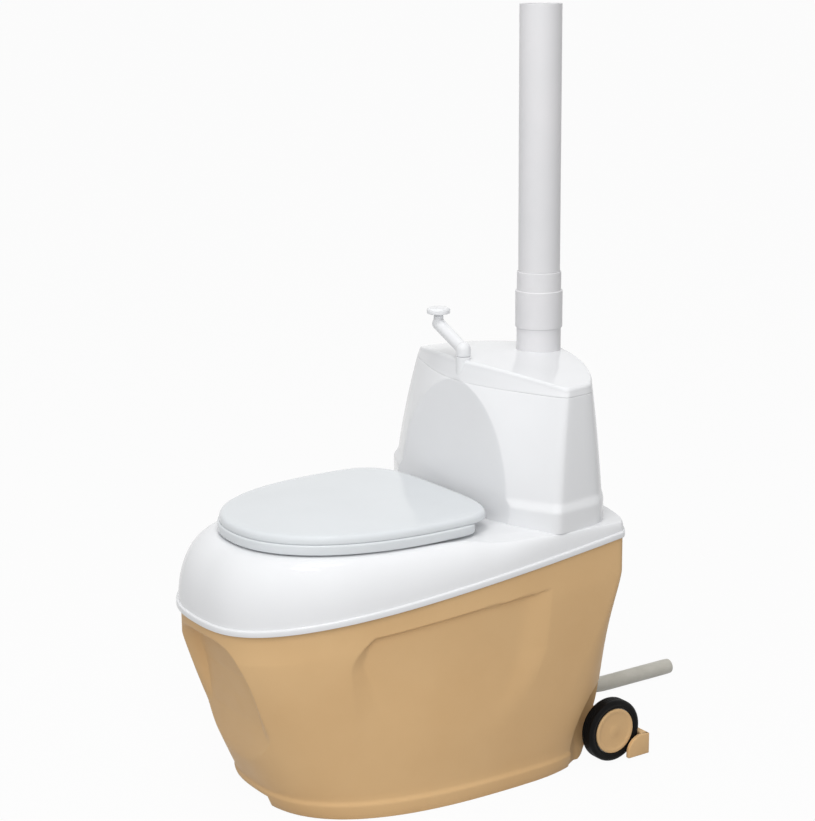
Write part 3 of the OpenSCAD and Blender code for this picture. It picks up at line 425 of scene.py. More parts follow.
RIM_HALF = 263
RIM_FRONT = -389
RIM_REAR = 375
RIM_WIDE_Y = 311
RIM_Z = 391
RIM_SLOPE = 0.127
RIM_P_FRONT = 2.68  # roundness of the plan's ends: 2 is an ellipse, more is squarer
RIM_P_REAR = 1.75
FLANGE_H = 11  # height of the deck's flange over the rim
DECK_T = 3.5
FOOT_HALF = 223
FOOT_FRONT = -279
FOOT_WIDE_Y = 106
FOOT_H = 28
FOOT_OUT = 5
FOOT_RING = 14  # width of the ring that stands on the floor
FOOT_P_FRONT = 2.62
FOOT_P_REAR = 2.77
WALL_P_FRONT = 2.7
WALL_BULGE = 1.28  # how soon the wall reaches the rim's width
STRAIGHT_V = 0.85  # the wall is upright above this share of its height
FENDER_REAR = RIM_REAR - 12  # rear end of the wall over the wheels
TANK_WALL = 5
FLOOR_Z = 30
TANK_INSET = 5.5  # the tank wall stands inside the rim flange
TANK_UP = 5  # the tank edge reaches up into the flange
TOE_LEFT = -150
TOE_RIGHT = 45
TOE_H = 20

WHEEL_X = RIM_HALF - 18  # outer face of the wheels
WHEEL_Y = 317
WHEEL_Z = 63.5
WELL_X = RIM_HALF - 60  # inner face of the wheel niches at their front end
WELL_TOP = 150
WELL_FRONT = 76  # the niche starts this far in front of the wheel's centre
WELL_WALL = 7
WELL_DEEP = 15  # the niches get this much deeper over their slanted part
NICHE_FRONT = -77  # these and the outlines start from the wheel's centre
NICHE_REAR = 100
NICHE_SLANT = 27  # length of the slanted part
NICHE_LOW = -5
NICHE_SLANTED = [(-50, NICHE_LOW), (-76, NICHE_LOW), (NICHE_FRONT, 45), (-73, 73), (-66, 95), (-57, 114),
                 (-50, 125)]
NICHE_STRAIGHT = [(NICHE_REAR, NICHE_LOW), (-50, NICHE_LOW), (-50, 125), (-43, 134), (-34, 142),
                  (-20, 149), (-8, WELL_TOP), (NICHE_REAR, WELL_TOP)]
BOSS_IN = 163  # inner end of the axle's boss
BOSS_LEN = 38
BOSS_R = 20
ARM_X = 102  # the rear steps' arms and the pads that carry them
ARM_PAD = 24

ARCH_HALF = 112
ARCH_DEPTH = 44
ARCH_TOP = 327
ARCH_MID = 200  # the arch's sides are upright below this height
ARCH_BACK = -150  # the recess lies in front of this
ARCH_LOW = 0.25  # its lower end, as a share of the wall's height
ARCH_SHARE = [(ARCH_LOW, 0), (0.30, 0.12), (0.38, 0.36), (0.48, 0.64), (0.60, 0.86), (0.72, 1),
              (0.82, 0.95), (0.96, 0.8)]  # share of the full depth over the share of the height
ARCH_SIDE_SLOPE = [(120, 0.35), (230, 0.82), (400, 0.9)]  # over the height
ARCH_TOP_SLOPE = 1.7
ARCH_P_SIDE = 3.6
ARCH_P_TOP = 3

PANEL_DEPTH = 11.5
PANEL_LOW = 60
PANEL_FRONT = -209
PANEL_BEND_Z = 277  # the front edge leans to the rear above and below this
PANEL_TOP_Z = 333  # height of the top edge at its front end
PANEL_TOP_FRONT = -169
PANEL_TOP_LONG = 299
PANEL_BAND = [(150, 60), (200, 48), (256, 33), (304, 22), (PANEL_TOP_Z, 5)]  # its width over the height
PANEL_REAR = [(PANEL_LOW, 60), (154, 109), (205, 140), (259, 159), (342, 163), (400, 164)]
PANEL_REAR_BAND = 68
PANEL_TOP_BAND = 8


def egg(t, half, front, rear, wide_y, p_front, p_rear):
    """A point of an egg-shaped plan curve: widest at wide_y, with a roundness for each end."""
    s, c = sind(t), cosd(t)
    p = p_front if s < 0 else p_rear
    reach = wide_y - front if s < 0 else rear - wide_y
    return (half * power(max(c, 0.0), 2 / p), wide_y + reach * power(s, 2 / p))


def rim_at(y):
    return RIM_Z + RIM_SLOPE * y


def rim_xy(t, inset):
    fuller = 0.14 * smooth((-t - 8) / 30) * smooth((90 + t) / 12)
    return egg(t, RIM_HALF - inset, RIM_FRONT + inset, RIM_REAR - inset, RIM_WIDE_Y,
               RIM_P_FRONT + fuller, RIM_P_REAR)


def rim_pt(t, inset, up):
    x, y = rim_xy(t, inset)
    return (x, y, rim_at(y) + up)


def wall_xy(t, v, inset):
    """The wall's plan at a share v of its height, from the foot's outline to the rim's."""
    g = 1 - (1 - min(v / STRAIGHT_V, 1)) ** WALL_BULGE
    h = smooth((v - 0.25) / 0.6)
    fender = smooth(v / 0.3) * (1 - h)
    rear = mix(mix(FOOT_REAR - FOOT_OUT, RIM_REAR - TANK_INSET, g), FENDER_REAR, fender)
    return egg(t, mix(FOOT_HALF - FOOT_OUT, RIM_HALF - TANK_INSET, g) - inset,
               mix(FOOT_FRONT + FOOT_OUT, RIM_FRONT + TANK_INSET, g) + inset, rear - inset,
               mix(FOOT_WIDE_Y, RIM_WIDE_Y, g), mix(FOOT_P_FRONT, WALL_P_FRONT, g),
               mix(FOOT_P_REAR, RIM_P_REAR, h))


def edge_ramp(e, slope, r):
    """Depth inside an edge: a small round, then a straight slope."""
    if e <= 0:
        return 0.0
    return slope * (e * e / (2 * r) if e < r else e - r / 2)


def soft_min(a, b, k):
    h = clamp01(0.5 + 0.5 * (b - a) / k)
    return mix(b, a, h) - k * h * (1 - h)


def arch_depth(x, y, z, v, front_y):
    """How far the wall stands back at the front recess."""
    if abs(x) > ARCH_HALF + 4 or v < ARCH_LOW or y > ARCH_BACK or z > ARCH_TOP:
        return 0.0
    high = ARCH_TOP - ARCH_MID
    up = max(0.0, (z - ARCH_MID) / high)
    out = abs(x) / ARCH_HALF
    f = out ** ARCH_P_SIDE + up ** ARCH_P_TOP
    fx = ARCH_P_SIDE * out ** (ARCH_P_SIDE - 1) / ARCH_HALF
    fz = ARCH_P_TOP * up ** (ARCH_P_TOP - 1) / high
    steep = math.hypot(fx, fz) + 1e-5
    inside = (1 - f) / steep
    slope = mix(lookup(z, ARCH_SIDE_SLOPE), ARCH_TOP_SLOPE, (fz / steep) ** 2)
    floor = ARCH_DEPTH * lookup(v, ARCH_SHARE) - 0.8 * (y - front_y)
    if floor <= 0:
        return 0.0
    return max(0.0, soft_min(edge_ramp(inside, slope, 4.0), floor, 3.0))


def panel_depth(y, z):
    """How far the side wall stands back at its panel."""
    along = y - PANEL_TOP_FRONT
    top = PANEL_TOP_Z + 0.1 * along + 3 * math.sin(math.pi * clamp01(along / PANEL_TOP_LONG))
    above, below = max(0, z - PANEL_BEND_Z), max(0, PANEL_BEND_Z - z)
    front = PANEL_FRONT + 40 * (above / 56) ** 2 + 6 * below / 52
    rear = lookup(z, PANEL_REAR)
    if y <= front or y >= rear or z >= top or z < PANEL_LOW:
        return 0.0
    deep = PANEL_DEPTH * smooth((z - 100) / 190)
    k_front = clamp01((y - front) / lookup(z, PANEL_BAND))
    k_top = clamp01((top - z) / PANEL_TOP_BAND)
    k = clamp01((rear - y) / PANEL_REAR_BAND)
    k_rear = mix(smooth(k), 1 - (1 - k) ** 2, 0.45 * smooth((z - 120) / 150))
    low = min(k_front, k_top, k_rear)
    soft = soft_min(soft_min(k_front, k_top, 0.12), k_rear, 0.2)
    return max(0.0, deep * (low if low < 0.12 else max(soft, 0)))


def wall_step(x, y):
    """Wanted distance between the wall's columns: finest in the arch, fine at the panels."""
    if abs(x) < 126 and y < 0:
        return 2.4
    return 3.0 if -235 < y < 185 else 7.0


def even_angles():
    """Angles from -90 to 90 whose steps along the wall follow wall_step."""
    at, dt = 0.7, 0.2  # share of the wall's height where they are measured, and a trial step
    out, t = [-90.0], -90.0
    while True:
        x, y = wall_xy(t, at, 0)
        nx, ny = wall_xy(min(t + dt, 90), at, 0)
        t += dt * wall_step(x, y) / max(math.hypot(nx - x, ny - y), 1e-6)
        if t >= 89.4:
            return out + [90.0]
        out.append(t)


TANK_ANGLES = even_angles()


def wall_loop(v, inset, panels, z_at):
    half = []
    front_y = wall_xy(-90, v, inset)[1]
    for t in TANK_ANGLES:
        x, y = wall_xy(t, v, inset)
        z = z_at(y)
        if panels:
            side = panel_depth(y, z) if x > 150 and y > -240 else 0
            y += arch_depth(x, y, z, v, front_y)
            x -= side
        half.append((x, y, z))
    return mirrored(half)


def cavity_loop(v, inset, z_at):
    """The inner face, which stays clear of the wheel niches."""
    loop = []
    front = WHEEL_Y - WELL_FRONT
    for x, y, z in wall_loop(v, inset + TANK_WALL, True, z_at):
        limit = WELL_X - mix(WELL_WALL, WELL_DEEP + 3, smooth((y - front + 6) / 40))
        low = 1 - smooth((z - WELL_TOP) / 40)
        back = smooth((y - front + 50) / 40)
        loop.append((math.copysign(mix(abs(x), min(abs(x), limit), low * back), x), y, z))
    return loop


def tank_loops():
    def flat(z):
        return lambda y: z

    def share(v):
        return lambda y: v * rim_at(y)

    def foot(z, inset):
        return wall_loop(z / RIM_Z, inset, False, flat(z))

    def edge(inset, up):
        return wall_loop(1, inset, False, lambda y: rim_at(y) + up)

    foot_line = [(FLOOR_Z - TANK_WALL, FOOT_RING), (1, FOOT_RING - FOOT_OUT),
                 (0, FOOT_RING - FOOT_OUT - 1), (0, -FOOT_OUT + 1.5), (0.5, -FOOT_OUT + 0.4),
                 (1.6, -FOOT_OUT), (12, -FOOT_OUT),
                 (FOOT_H - 5, -FOOT_OUT), (FOOT_H - 2.5, -FOOT_OUT + 0.4), (FOOT_H - 0.5, -FOOT_OUT + 1.4),
                 (FOOT_H + 1.5, -2.2), (FOOT_H + 4, -0.9), (FOOT_H + 7, -0.2)]
    loops = [foot(z, inset) for z, inset in foot_line]
    rows = spaced(0.12, 0.32, 14) + spaced(0.328, 0.975, 92)
    loops += [wall_loop(v, 0, True, share(v)) for v in rows]
    loops += [edge(0, TANK_UP - 0.8), edge(0.8, TANK_UP), edge(TANK_WALL, TANK_UP)]
    loops += [cavity_loop(v, 0, share(v)) for v in spaced(0.97, 0.10, 36)]
    loops += [cavity_loop(FLOOR_Z / RIM_Z, 2, flat(FLOOR_Z))]
    return loops


def niche(name, outline, s):
    """A cutter for one part of a wheel niche. Its inner face slants at the front."""
    def inner(a):
        return WELL_X - WELL_DEEP * clamp01((a - NICHE_FRONT) / NICHE_SLANT)

    return prism(name, [(s * inner(a), WHEEL_Y + a, z) for a, z in outline],
                 [(s * 300, WHEEL_Y + a, z) for a, z in outline])


def tank():
    body = skin("tank_body", tank_loops())
    cutters = []
    for s in (1, -1):
        cutters += [niche("niche_front", NICHE_SLANTED, s), niche("niche_rear", NICHE_STRAIGHT, s)]
    cutters.append(block("toe_cut", (TOE_LEFT, FOOT_FRONT - 30, -1), (TOE_RIGHT, FOOT_FRONT + 50, TOE_H)))
    cut(body, *cutters)
    shade(body, 38)
    stand_for(body, "tank_shell")
    # bosses and pads inside, for the axles, the steps and the drain
    for s, side, axis in ((1, "right", "x"), (-1, "left", "-x")):
        boss_at = (s * BOSS_IN, WHEEL_Y, WHEEL_Z)
        extra(rod("axle_boss_" + side, BOSS_R, 0, BOSS_LEN, boss_at, axis), "tank_shell")
        extra(block("step_pad_" + side, (s * ARM_X - 16, DRAIN_FACE - ARM_PAD, 8),
                    (s * ARM_X + 16, DRAIN_FACE, 44)), "tank_shell")
    pad_at = (-DRAIN_X, DRAIN_FACE - DRAIN_PAD, DRAIN_Z)
    extra(rod("drain_pad", 20, 0, DRAIN_PAD, pad_at, "y"), "tank_shell")


tank()


# ---- deck -------------------------------------------------------------------------

PLATEAU_Z = 458
HOLE_HALF = 108
HOLE_FRONT = -240
HOLE_REAR = 30
HOLE_MID = (HOLE_FRONT + HOLE_REAR) / 2
HOLE_P_FRONT = 2.2
HOLE_P_REAR = 2.4
HOLE_ROUND = 5
LIP_DOWN = 22
EDGE_IN = 4  # the deck's side starts this far in from the flange's edge
SEAT_REST = 7.5  # the deck rises this much under the seat
PEAT_HALF = (70, 26)
PEAT_Y = 205
VENT_Y = 326
DUCT_R = 33
CRANK_Y = 159
BUSH_R = 9
LID_HALF = 197.5
LID_FRONT = -314
LID_REAR = 110
LID_WIDE_Y = -30
LID_P_FRONT = 2.2
LID_P_REAR = 4
BUFFER_IN = 24  # the seat's rubber feet stand this far in from the lid's edge
BUFFER_ANGLES = (-62, -8)
POCKET_R = 9  # round hollows in the deck for the rubber feet
DECK_ANGLES = spaced(-90, -36, 46)[:-1] + spaced(-36, 80, 80)[:-1] + spaced(80, 90, 8)


def shoulder(t):
    """How far in from its edge the deck gets level: far in front, little at the sides."""
    return mix(6, 1.5, smooth(t / 80)) + 66 * smooth((-t - 4) / 20) * (0.55 + 0.45 * t * t / 8100)


def plateau_xy(t, inset):
    return rim_xy(t, shoulder(t) + EDGE_IN + inset)


def plateau_at(y):
    """Height of the deck's top, which rises a little under the seat."""
    return PLATEAU_Z + SEAT_REST * (1 - smooth((y - 15) / 55))


def hole_pt(t, out, z):
    x, y = egg(t, HOLE_HALF + out, HOLE_FRONT - out, HOLE_REAR + out, HOLE_MID,
               HOLE_P_FRONT, HOLE_P_REAR)
    return (x, y, z)


def top_pt(t, out, down):
    """A point of the top round the hole. The rise under the seat ends before it."""
    x, y, _ = hole_pt(t, out, 0)
    return (x, y, mix(PLATEAU_Z, plateau_at(y), smooth((out - 13) / 9)) - down)


def deck_pt(t, a, inset, down):
    """A point of the deck's side, which curves up from the rim and in to the top."""
    low, high = rim_xy(t, EDGE_IN + inset), plateau_xy(t, inset)
    k = 1 - cosd(a)
    return (mix(low[0], high[0], k), mix(low[1], high[1], k),
            mix(rim_at(low[1]) + FLANGE_H, plateau_at(high[1]), sind(a)) - down)


def lid_pt(t, inset, z):
    x, y = egg(t, LID_HALF - inset, LID_FRONT + inset, LID_REAR - inset, LID_WIDE_Y,
               LID_P_FRONT, LID_P_REAR)
    return (x, y, z)


def deck_loops():
    def each(point):
        return mirrored([point(t) for t in DECK_ANGLES])

    def rim(inset, up):
        return each(lambda t: rim_pt(t, inset, up))

    def side(a, inset, down):
        return each(lambda t: deck_pt(t, a, inset, down))

    def top(out, down):
        return each(lambda t: top_pt(t, out, down))

    def lip(out, down):
        return each(lambda t: hole_pt(t, out, PLATEAU_Z - down))

    loops = [rim(1.2, 0), rim(0.35, 0.35), rim(0, 1.2), rim(0, FLANGE_H - 3.4)]
    loops += [rim(3 * (1 - cosd(a)), FLANGE_H - 3.2 + 3 * sind(a)) for a in (20, 40, 60, 80)]
    loops.append(rim(3.6, FLANGE_H - 0.3))
    loops += [side(a, 0, 0) for a in [1.5, 4, 8] + list(range(14, 75, 6)) + [79, 84, 87, 90]]
    loops += [top(out, 0) for out in (60, 50, 40, 30, 22, 19, 16, 13, HOLE_ROUND)]
    loops += [top(HOLE_ROUND * (1 - sind(a)), HOLE_ROUND * (1 - cosd(a))) for a in (30, 60, 90)]
    loops += [lip(0, LIP_DOWN), lip(3.5, LIP_DOWN), lip(3.5, 6), lip(7.5, DECK_T)]
    loops += [side(a, 8, DECK_T) for a in (90, 75, 60, 45, 32, 20, 12)]
    return loops + [rim(13, FLANGE_H - DECK_T), rim(DECK_T + 1, FLANGE_H - DECK_T), rim(DECK_T + 1, 0)]


def deck():
    body = skin("deck_shell", deck_loops(), ring=True)
    wide, deep = PEAT_HALF
    low, high = PLATEAU_Z - 30, PLATEAU_Z + 30
    holes = [block("peat_cut", (-wide, PEAT_Y - deep, low), (wide, PEAT_Y + deep, high)),
             rod("shaft_cut", BUSH_R, -30, 30, (0, CRANK_Y, PLATEAU_Z)),
             rod("vent_cut", DUCT_R, -30, 30, (0, VENT_Y, PLATEAU_Z), sides=72)]
    for t in BUFFER_ANGLES:
        x, y, _ = lid_pt(t, BUFFER_IN, 0)
        holes += [rod("pocket_cut", POCKET_R, 0.1, 20, (s * x, y, PLATEAU_Z), sides=32) for s in (1, -1)]
    cut(body, *holes)
    shade(body)
    stand_for(body, "seat_deck")


deck()


# ---- tower and cap ------------------------------------------------------------------

SEAM_Z = 686
SEAM_HALF_GAP = 0.15
CAP_Z = 722
CAP_DROP = 21  # from the crown's middle to the corners
CAP_HALF = 226.4
CAP_REAR_DROP = 1
CAP_EDGE = CAP_Z - CAP_DROP  # height of the cap's corners
CAP_PLAN_Z = 702  # the cap's top has the tower's plan at this height
CAP_ROUND = 6
TOWER_T = 4
PLINTH_H = 34
PLINTH_OUT = 7
FLARE_LOW = 512
TOWER_REAR = RIM_REAR - 5.5
TOWER_MID = (0, 255)  # the tower's plan is moved in towards this point
CORNER = (CAP_HALF, 214.7)  # the front corners at the cap
CORNER_FLARE = (23.1, 32.1)  # how far they move out and forward down to the flare's foot
FACET = (220, 267)  # rear ends of the corner facets at the cap
FACET_FLARE = (20, 9)
NOSE_LOW = 88  # middle of the front at the flare's foot, where no recess cuts it
NOSE_BACK = 76  # how far it leans back over its height
NOSE_LONG = 210
RECESS_Y = 134.8  # face of the recess at the height RECESS_Z
RECESS_Z = 520.8
RECESS_LEAN = 0.055
FRONT_P = 1.6
COLUMN_R = 13.4
COLUMN_TOP = 727
SPIGOT_R = 9
SLEEVE_R = 40


def flare(z):
    """0 at the cap and 1 at the foot of the flare, where the tower is widest."""
    u = clamp01((CAP_EDGE - z) / (CAP_EDGE - FLARE_LOW))
    return 1.25 * u - 0.25 * u * u


def plinth(z):
    """How far the plinth stands out, with a soft end above it."""
    return PLINTH_OUT * (1 - smooth((z - PLATEAU_Z - PLINTH_H) / 20))


def corner_at(z):
    return (CORNER[0] + CORNER_FLARE[0] * flare(z) + plinth(z),
            CORNER[1] - CORNER_FLARE[1] * flare(z) - plinth(z))


def facet_at(z):
    return (FACET[0] + FACET_FLARE[0] * flare(z) + plinth(z), FACET[1] - FACET_FLARE[1] * flare(z))


def nose_at(z):
    return NOSE_LOW + NOSE_BACK * clamp01((z - FLARE_LOW) / NOSE_LONG) ** 1.75 - plinth(z) / 2


def recess_at(z):
    return RECESS_Y + RECESS_LEAN * (z - RECESS_Z)


def front_y(x, z):
    """The curved front, from its middle to the corners."""
    c = corner_at(z)
    return nose_at(z) + (c[1] - nose_at(z)) * (abs(x) / c[0]) ** FRONT_P


def recess_half(z):
    """Half the width of the recess, where its face meets the curved front."""
    c = corner_at(z)
    k = (recess_at(z) - nose_at(z)) / (c[1] - nose_at(z))
    return 0 if k <= 0 else c[0] * k ** (1 / FRONT_P)


def chaikin(pts, times):
    """Corner cutting that keeps the two end points."""
    for _ in range(times):
        out = [pts[0]]
        for a, b in zip(pts, pts[1:]):
            out += [(mix(a[0], b[0], k), mix(a[1], b[1], k)) for k in (0.25, 0.75)]
        pts = out + [pts[-1]]
    return pts


def tower_plan(z):
    """Right half of the tower's plan, front to rear: recess, curved front, facet, rear."""
    c, f = corner_at(z), facet_at(z)
    edge = max(recess_half(z), 12)
    p = mix(1.38, 1.8, flare(z))
    xs = [edge * i / 7 for i in range(6)] + [edge - 2.5, edge + 2.5]
    xs += [mix(edge + 2.5, c[0] - 9, i / 9) for i in range(1, 10)]
    pts = [(x, max(front_y(x, z), recess_at(z))) for x in xs] + [(c[0] - 1.5, c[1] + 3.5)]
    pts += [(mix(c[0], f[0], k), mix(c[1], f[1], k)) for k in (0.2, 0.55, 0.88)]
    pts += [(f[0] * cosd(a) ** (2 / p), f[1] + (TOWER_REAR - f[1]) * sind(a) ** (2 / p))
            for a in range(8, 88, 6)]
    return chaikin(pts + [(0, TOWER_REAR)], 2)


def tower_loop(plan_z, inset, z_at, share=1):
    """The plan at one height, drawn in towards its middle by a share and an inset."""
    half = []
    for x, y in tower_plan(plan_z):
        dx, dy = x - TOWER_MID[0], y - TOWER_MID[1]
        k = share - inset / math.hypot(dx, dy)
        px, py = TOWER_MID[0] + dx * k, TOWER_MID[1] + dy * k
        half.append((px, py, z_at(px, py)))
    return mirrored(half)


def tower_level(z, inset=0):
    return tower_loop(z, inset, lambda x, y: z)


def crown(x, y):
    """Height of the cap's top, which falls to the sides and a little to the rear."""
    return CAP_Z - CAP_DROP * (x / CAP_HALF) ** 2 - CAP_REAR_DROP * (max(0, y - 250) / 116) ** 2


def cap_level(inset, down, share=1):
    return tower_loop(CAP_PLAN_Z, inset, lambda x, y: crown(x, y) - down, share)


def tower():
    zs = spaced(PLATEAU_Z + 0.2, PLATEAU_Z + PLINTH_H - 3, 5)
    zs += spaced(PLATEAU_Z + PLINTH_H - 1, 520, 12) + spaced(524, SEAM_Z - 1.6, 46)
    top = SEAM_Z - SEAM_HALF_GAP
    loops = [tower_level(z) for z in zs] + [tower_level(SEAM_Z - 0.5, 0.1), tower_level(top, 0.4)]
    loops += [tower_level(z, TOWER_T) for z in
              [top, 660, 630, 600, 570, 545, 520, 500, 480, PLATEAU_Z + 0.2]]
    stand_for(skin("tower_body", loops, ring=True), "tower_shell")


tower()


def cap_loops():
    low = SEAM_Z + SEAM_HALF_GAP
    side = SEAM_Z + 1.8
    loops = [cap_level(0, TOWER_T, k) for k in (0.15, 0.4, 0.65, 0.85)]
    loops += [cap_level(TOWER_T + 3, TOWER_T), tower_level(low, TOWER_T), tower_level(low, 0.4),
              tower_level(SEAM_Z + 0.5, 0.1), tower_level(side)]
    for k in (0.2, 0.4, 0.6, 0.8, 1.0):
        loops.append(tower_loop(mix(side, CAP_PLAN_Z, k), mix(0, -0.3, k),
                                lambda x, y: mix(side, crown(x, y) - 6.5, k)))
    loops += [cap_level(CAP_ROUND * (1 - cosd(a)) - 0.3 * cosd(a), 6.5 * (1 - sind(a)))
              for a in range(15, 91, 15)]
    loops += [cap_level(10, 0), cap_level(16, 0)]
    return loops + [cap_level(0, 0, k) for k in (0.78, 0.7, 0.6, 0.5, 0.35, 0.2, 0.08)]


def tower_cap():
    body = skin("tower_lid", cap_loops())
    cut(body, rod("sleeve_cut", SLEEVE_R + 0.1, -50, 40, (0, VENT_Y, CAP_Z), sides=96),
        rod("spigot_cut", SPIGOT_R + 0.3, -50, 40, (0, CRANK_Y, CAP_Z), sides=64))
    shade(body)
    stand_for(body, "tower_cap")
    ring = [(SLEEVE_R + 0.1, -20), (SLEEVE_R + 3.6, -20), (SLEEVE_R + 2.2, -3.2)]
    ring += arc(SLEEVE_R + 0.9, -2.3, 1.3, 0, 90, 5) + [(SLEEVE_R + 0.1, -1.0)]
    extra(lathe("vent_raised_ring", ring, (0, VENT_Y, CAP_Z)), "tower_cap")
    column = [(SPIGOT_R + 0.1, SEAM_Z), (COLUMN_R, SEAM_Z), (COLUMN_R, COLUMN_TOP - 1)]
    column += arc(COLUMN_R - 1, COLUMN_TOP - 1, 1, 0, 90, 4) + [(SPIGOT_R + 0.1, COLUMN_TOP)]
    extra(lathe("crank_column", column, (0, CRANK_Y, 0), sides=72), "tower_cap")


tower_cap()


# ---- vent ---------------------------------------------------------------------------

PIPE_R = 37.5
PIPE_T = 2
PIPE_TOP = 1335
COUPLER_LOW = 762
COUPLER_TOP = 830
COUPLER_R = 42.6
COUPLER_ROUND = 1.8
COUPLER_MID = COUPLER_LOW + 33  # the sleeve's top inside the coupler
SOCKET_TOP = 864
SLEEVE_LOW = 688
SLEEVE_BORE = 37.9
SPIGOT_STEP = 0.4  # the pipe's lower end is this much slimmer
PIPE_LOW = COUPLER_MID + 6.3
VENT_SIDES = 128


def vent():
    def turned(name, profile, node):
        stand_for(lathe(name, profile, (0, VENT_Y, 0), sides=VENT_SIDES), node)

    bore, slim = PIPE_R - PIPE_T, PIPE_R - SPIGOT_STEP
    pipe = [(bore, PIPE_LOW), (slim, PIPE_LOW), (slim, SOCKET_TOP + 0.2), (PIPE_R, SOCKET_TOP + 0.3)]
    pipe += [(PIPE_R, z) for z in spaced(SOCKET_TOP + 20, PIPE_TOP - 0.6, 12)]
    pipe += [(PIPE_R - 0.5, PIPE_TOP), (bore + 0.4, PIPE_TOP), (bore, PIPE_TOP - 0.4)]
    turned("vent_tube", pipe, "vent_pipe")
    socket = [(PIPE_R + 0.1, COUPLER_MID + 5), (SLEEVE_R - 0.1, COUPLER_MID + 3.5),
              (SLEEVE_R - 0.1, SOCKET_TOP - 1.6)]
    socket += arc(SLEEVE_R - 1.5, SOCKET_TOP - 1.4, 1.4, 0, 90, 5) + [(PIPE_R + 0.1, SOCKET_TOP)]
    turned("pipe_collar", socket, "pipe_socket")
    r = COUPLER_ROUND
    joint = [(SLEEVE_R + 0.1, COUPLER_LOW)] + arc(COUPLER_R - r, COUPLER_LOW + r, r, -90, 0, 6)
    joint += [(COUPLER_R, COUPLER_TOP - r)] + arc(COUPLER_R - r, COUPLER_TOP - r, r, 0, 90, 6)
    turned("vent_joint", joint + [(SLEEVE_R + 0.1, COUPLER_TOP)], "vent_coupler")
    turned("vent_stub", [(SLEEVE_BORE, SLEEVE_LOW), (SLEEVE_R, SLEEVE_LOW), (SLEEVE_R, COUPLER_MID),
                         (SLEEVE_BORE, COUPLER_MID)], "vent_sleeve")


vent()


# ---- seat and lid ---------------------------------------------------------------------

SEAT_Z = 468
SEAT_T = 17.4
SEAT_TOP = SEAT_Z + SEAT_T
SEAT_OUT = 2.8  # the seat stands out from the lid in front
SEAT_DRAWN_IN = 18  # and draws in by this, less SEAT_OUT, at the rear corners
SEAT_ROUND_LOW = 3.2
SEAT_ROUND_TOP = 3.6
LID_LOW = SEAT_TOP + 0.4
LID_EDGE = 14
LID_CROWN = 6
LID_T = 3.5
LID_MID = -100
RING_HALF = 112
RING_FRONT = -246
RING_REAR = 36
RING_MID = (RING_FRONT + RING_REAR) / 2
HINGE_X = 78
HINGE_Y = 98
HINGE_Z = 475.5
NOTCH_HALF = 12
DRUM_R = 9.6  # the seat's round rear edge, about the hinge line
LID_ANGLES = spaced(-90, 0, 60)[:-1] + spaced(0, 78, 50)[:-1] + spaced(78, 90, 10)


def ring_pt(t, inset, z):
    x, y = egg(t, RING_HALF - inset, RING_FRONT + inset, RING_REAR - inset, RING_MID,
               HOLE_P_FRONT, HOLE_P_REAR)
    return (x, y, z)


def seat_pt(t, inset, z):
    return lid_pt(t, inset - SEAT_OUT + SEAT_DRAWN_IN * smooth((t - 8) / 30), z)


def lid_dome(t, k, up):
    x, y, _ = lid_pt(t, 0, 0)
    return (x * k, mix(LID_MID, y, k), LID_LOW + LID_EDGE + LID_CROWN * (1 - k * k) - up)


def lid_loop(point, *given):
    return mirrored([point(t, *given) for t in LID_ANGLES])


def seat_loops():
    def between(t, k):
        outer, inner = seat_pt(t, 14, SEAT_TOP), ring_pt(t, -22, SEAT_TOP - 1.5)
        return tuple(mix(a, b, k) for a, b in zip(outer, inner))

    r, e = SEAT_ROUND_LOW, SEAT_ROUND_TOP
    loops = [lid_loop(seat_pt, 9, SEAT_Z)]
    loops += [lid_loop(seat_pt, r * (1 - sind(a)), SEAT_Z + r * (1 - cosd(a))) for a in (0, 30, 60, 90)]
    loops += [lid_loop(seat_pt, e * (1 - cosd(a)), SEAT_TOP - e * (1 - sind(a)))
              for a in (0, 22, 45, 67, 90)]
    loops += [lid_loop(seat_pt, 8, SEAT_TOP), lid_loop(seat_pt, 14, SEAT_TOP)]
    loops += [lid_loop(between, k) for k in (0.25, 0.5, 0.75)]
    hollow = [(-22, 1.5), (-14, 2.6), (-8, 3.9), (-4, 5.4), (-1.5, 7.2), (0, 9.6), (-0.4, 12.5),
              (-2, SEAT_T)]
    return loops + [lid_loop(ring_pt, inset, SEAT_TOP - down) for inset, down in hollow]


def seat():
    body = skin("seat_board", seat_loops(), ring=True)
    low, high = SEAT_Z - 1, SEAT_TOP + 1
    notches = [block("notch_cut", (s * HINGE_X - NOTCH_HALF, HINGE_Y - 12, low),
                     (s * HINGE_X + NOTCH_HALF, HINGE_Y + 48, high)) for s in (1, -1)]
    bar = block("rear_cut", (-LID_HALF, HINGE_Y, low), (LID_HALF, HINGE_Y + 60, high))
    cut(bar, rod("rear_round", DRUM_R, 0, 400, (-200, HINGE_Y, HINGE_Z), "x", 64))
    cut(body, *notches, bar)
    shade(body)
    stand_for(body, "seat_ring", SEAT)


seat()


def lid():
    loops = [lid_loop(lid_dome, k, LID_T) for k in (0.05, 0.3, 0.55, 0.8)]
    under = [(LID_T + 6, LID_EDGE - LID_T), (LID_T + 3, 8.6), (LID_T, 5), (LID_T, 0.6), (LID_T - 0.6, 0)]
    edge = [(1.0, 0), (0.3, 0.3), (0, 1), (0.1, 4), (0.5, 7), (1.2, 9), (2.2, 10.8), (3.6, 12.2),
            (5.6, 13.3), (8.4, 14.1)]
    loops += [lid_loop(lid_pt, inset, LID_LOW + up) for inset, up in under + edge]
    loops += [lid_loop(lid_dome, k, 0) for k in (0.90, 0.82, 0.72, 0.6, 0.48, 0.36, 0.24, 0.12, 0.04)]
    stand_for(skin("lid_panel", loops), "seat_lid", SEAT)


lid()


# ---- crank --------------------------------------------------------------------------

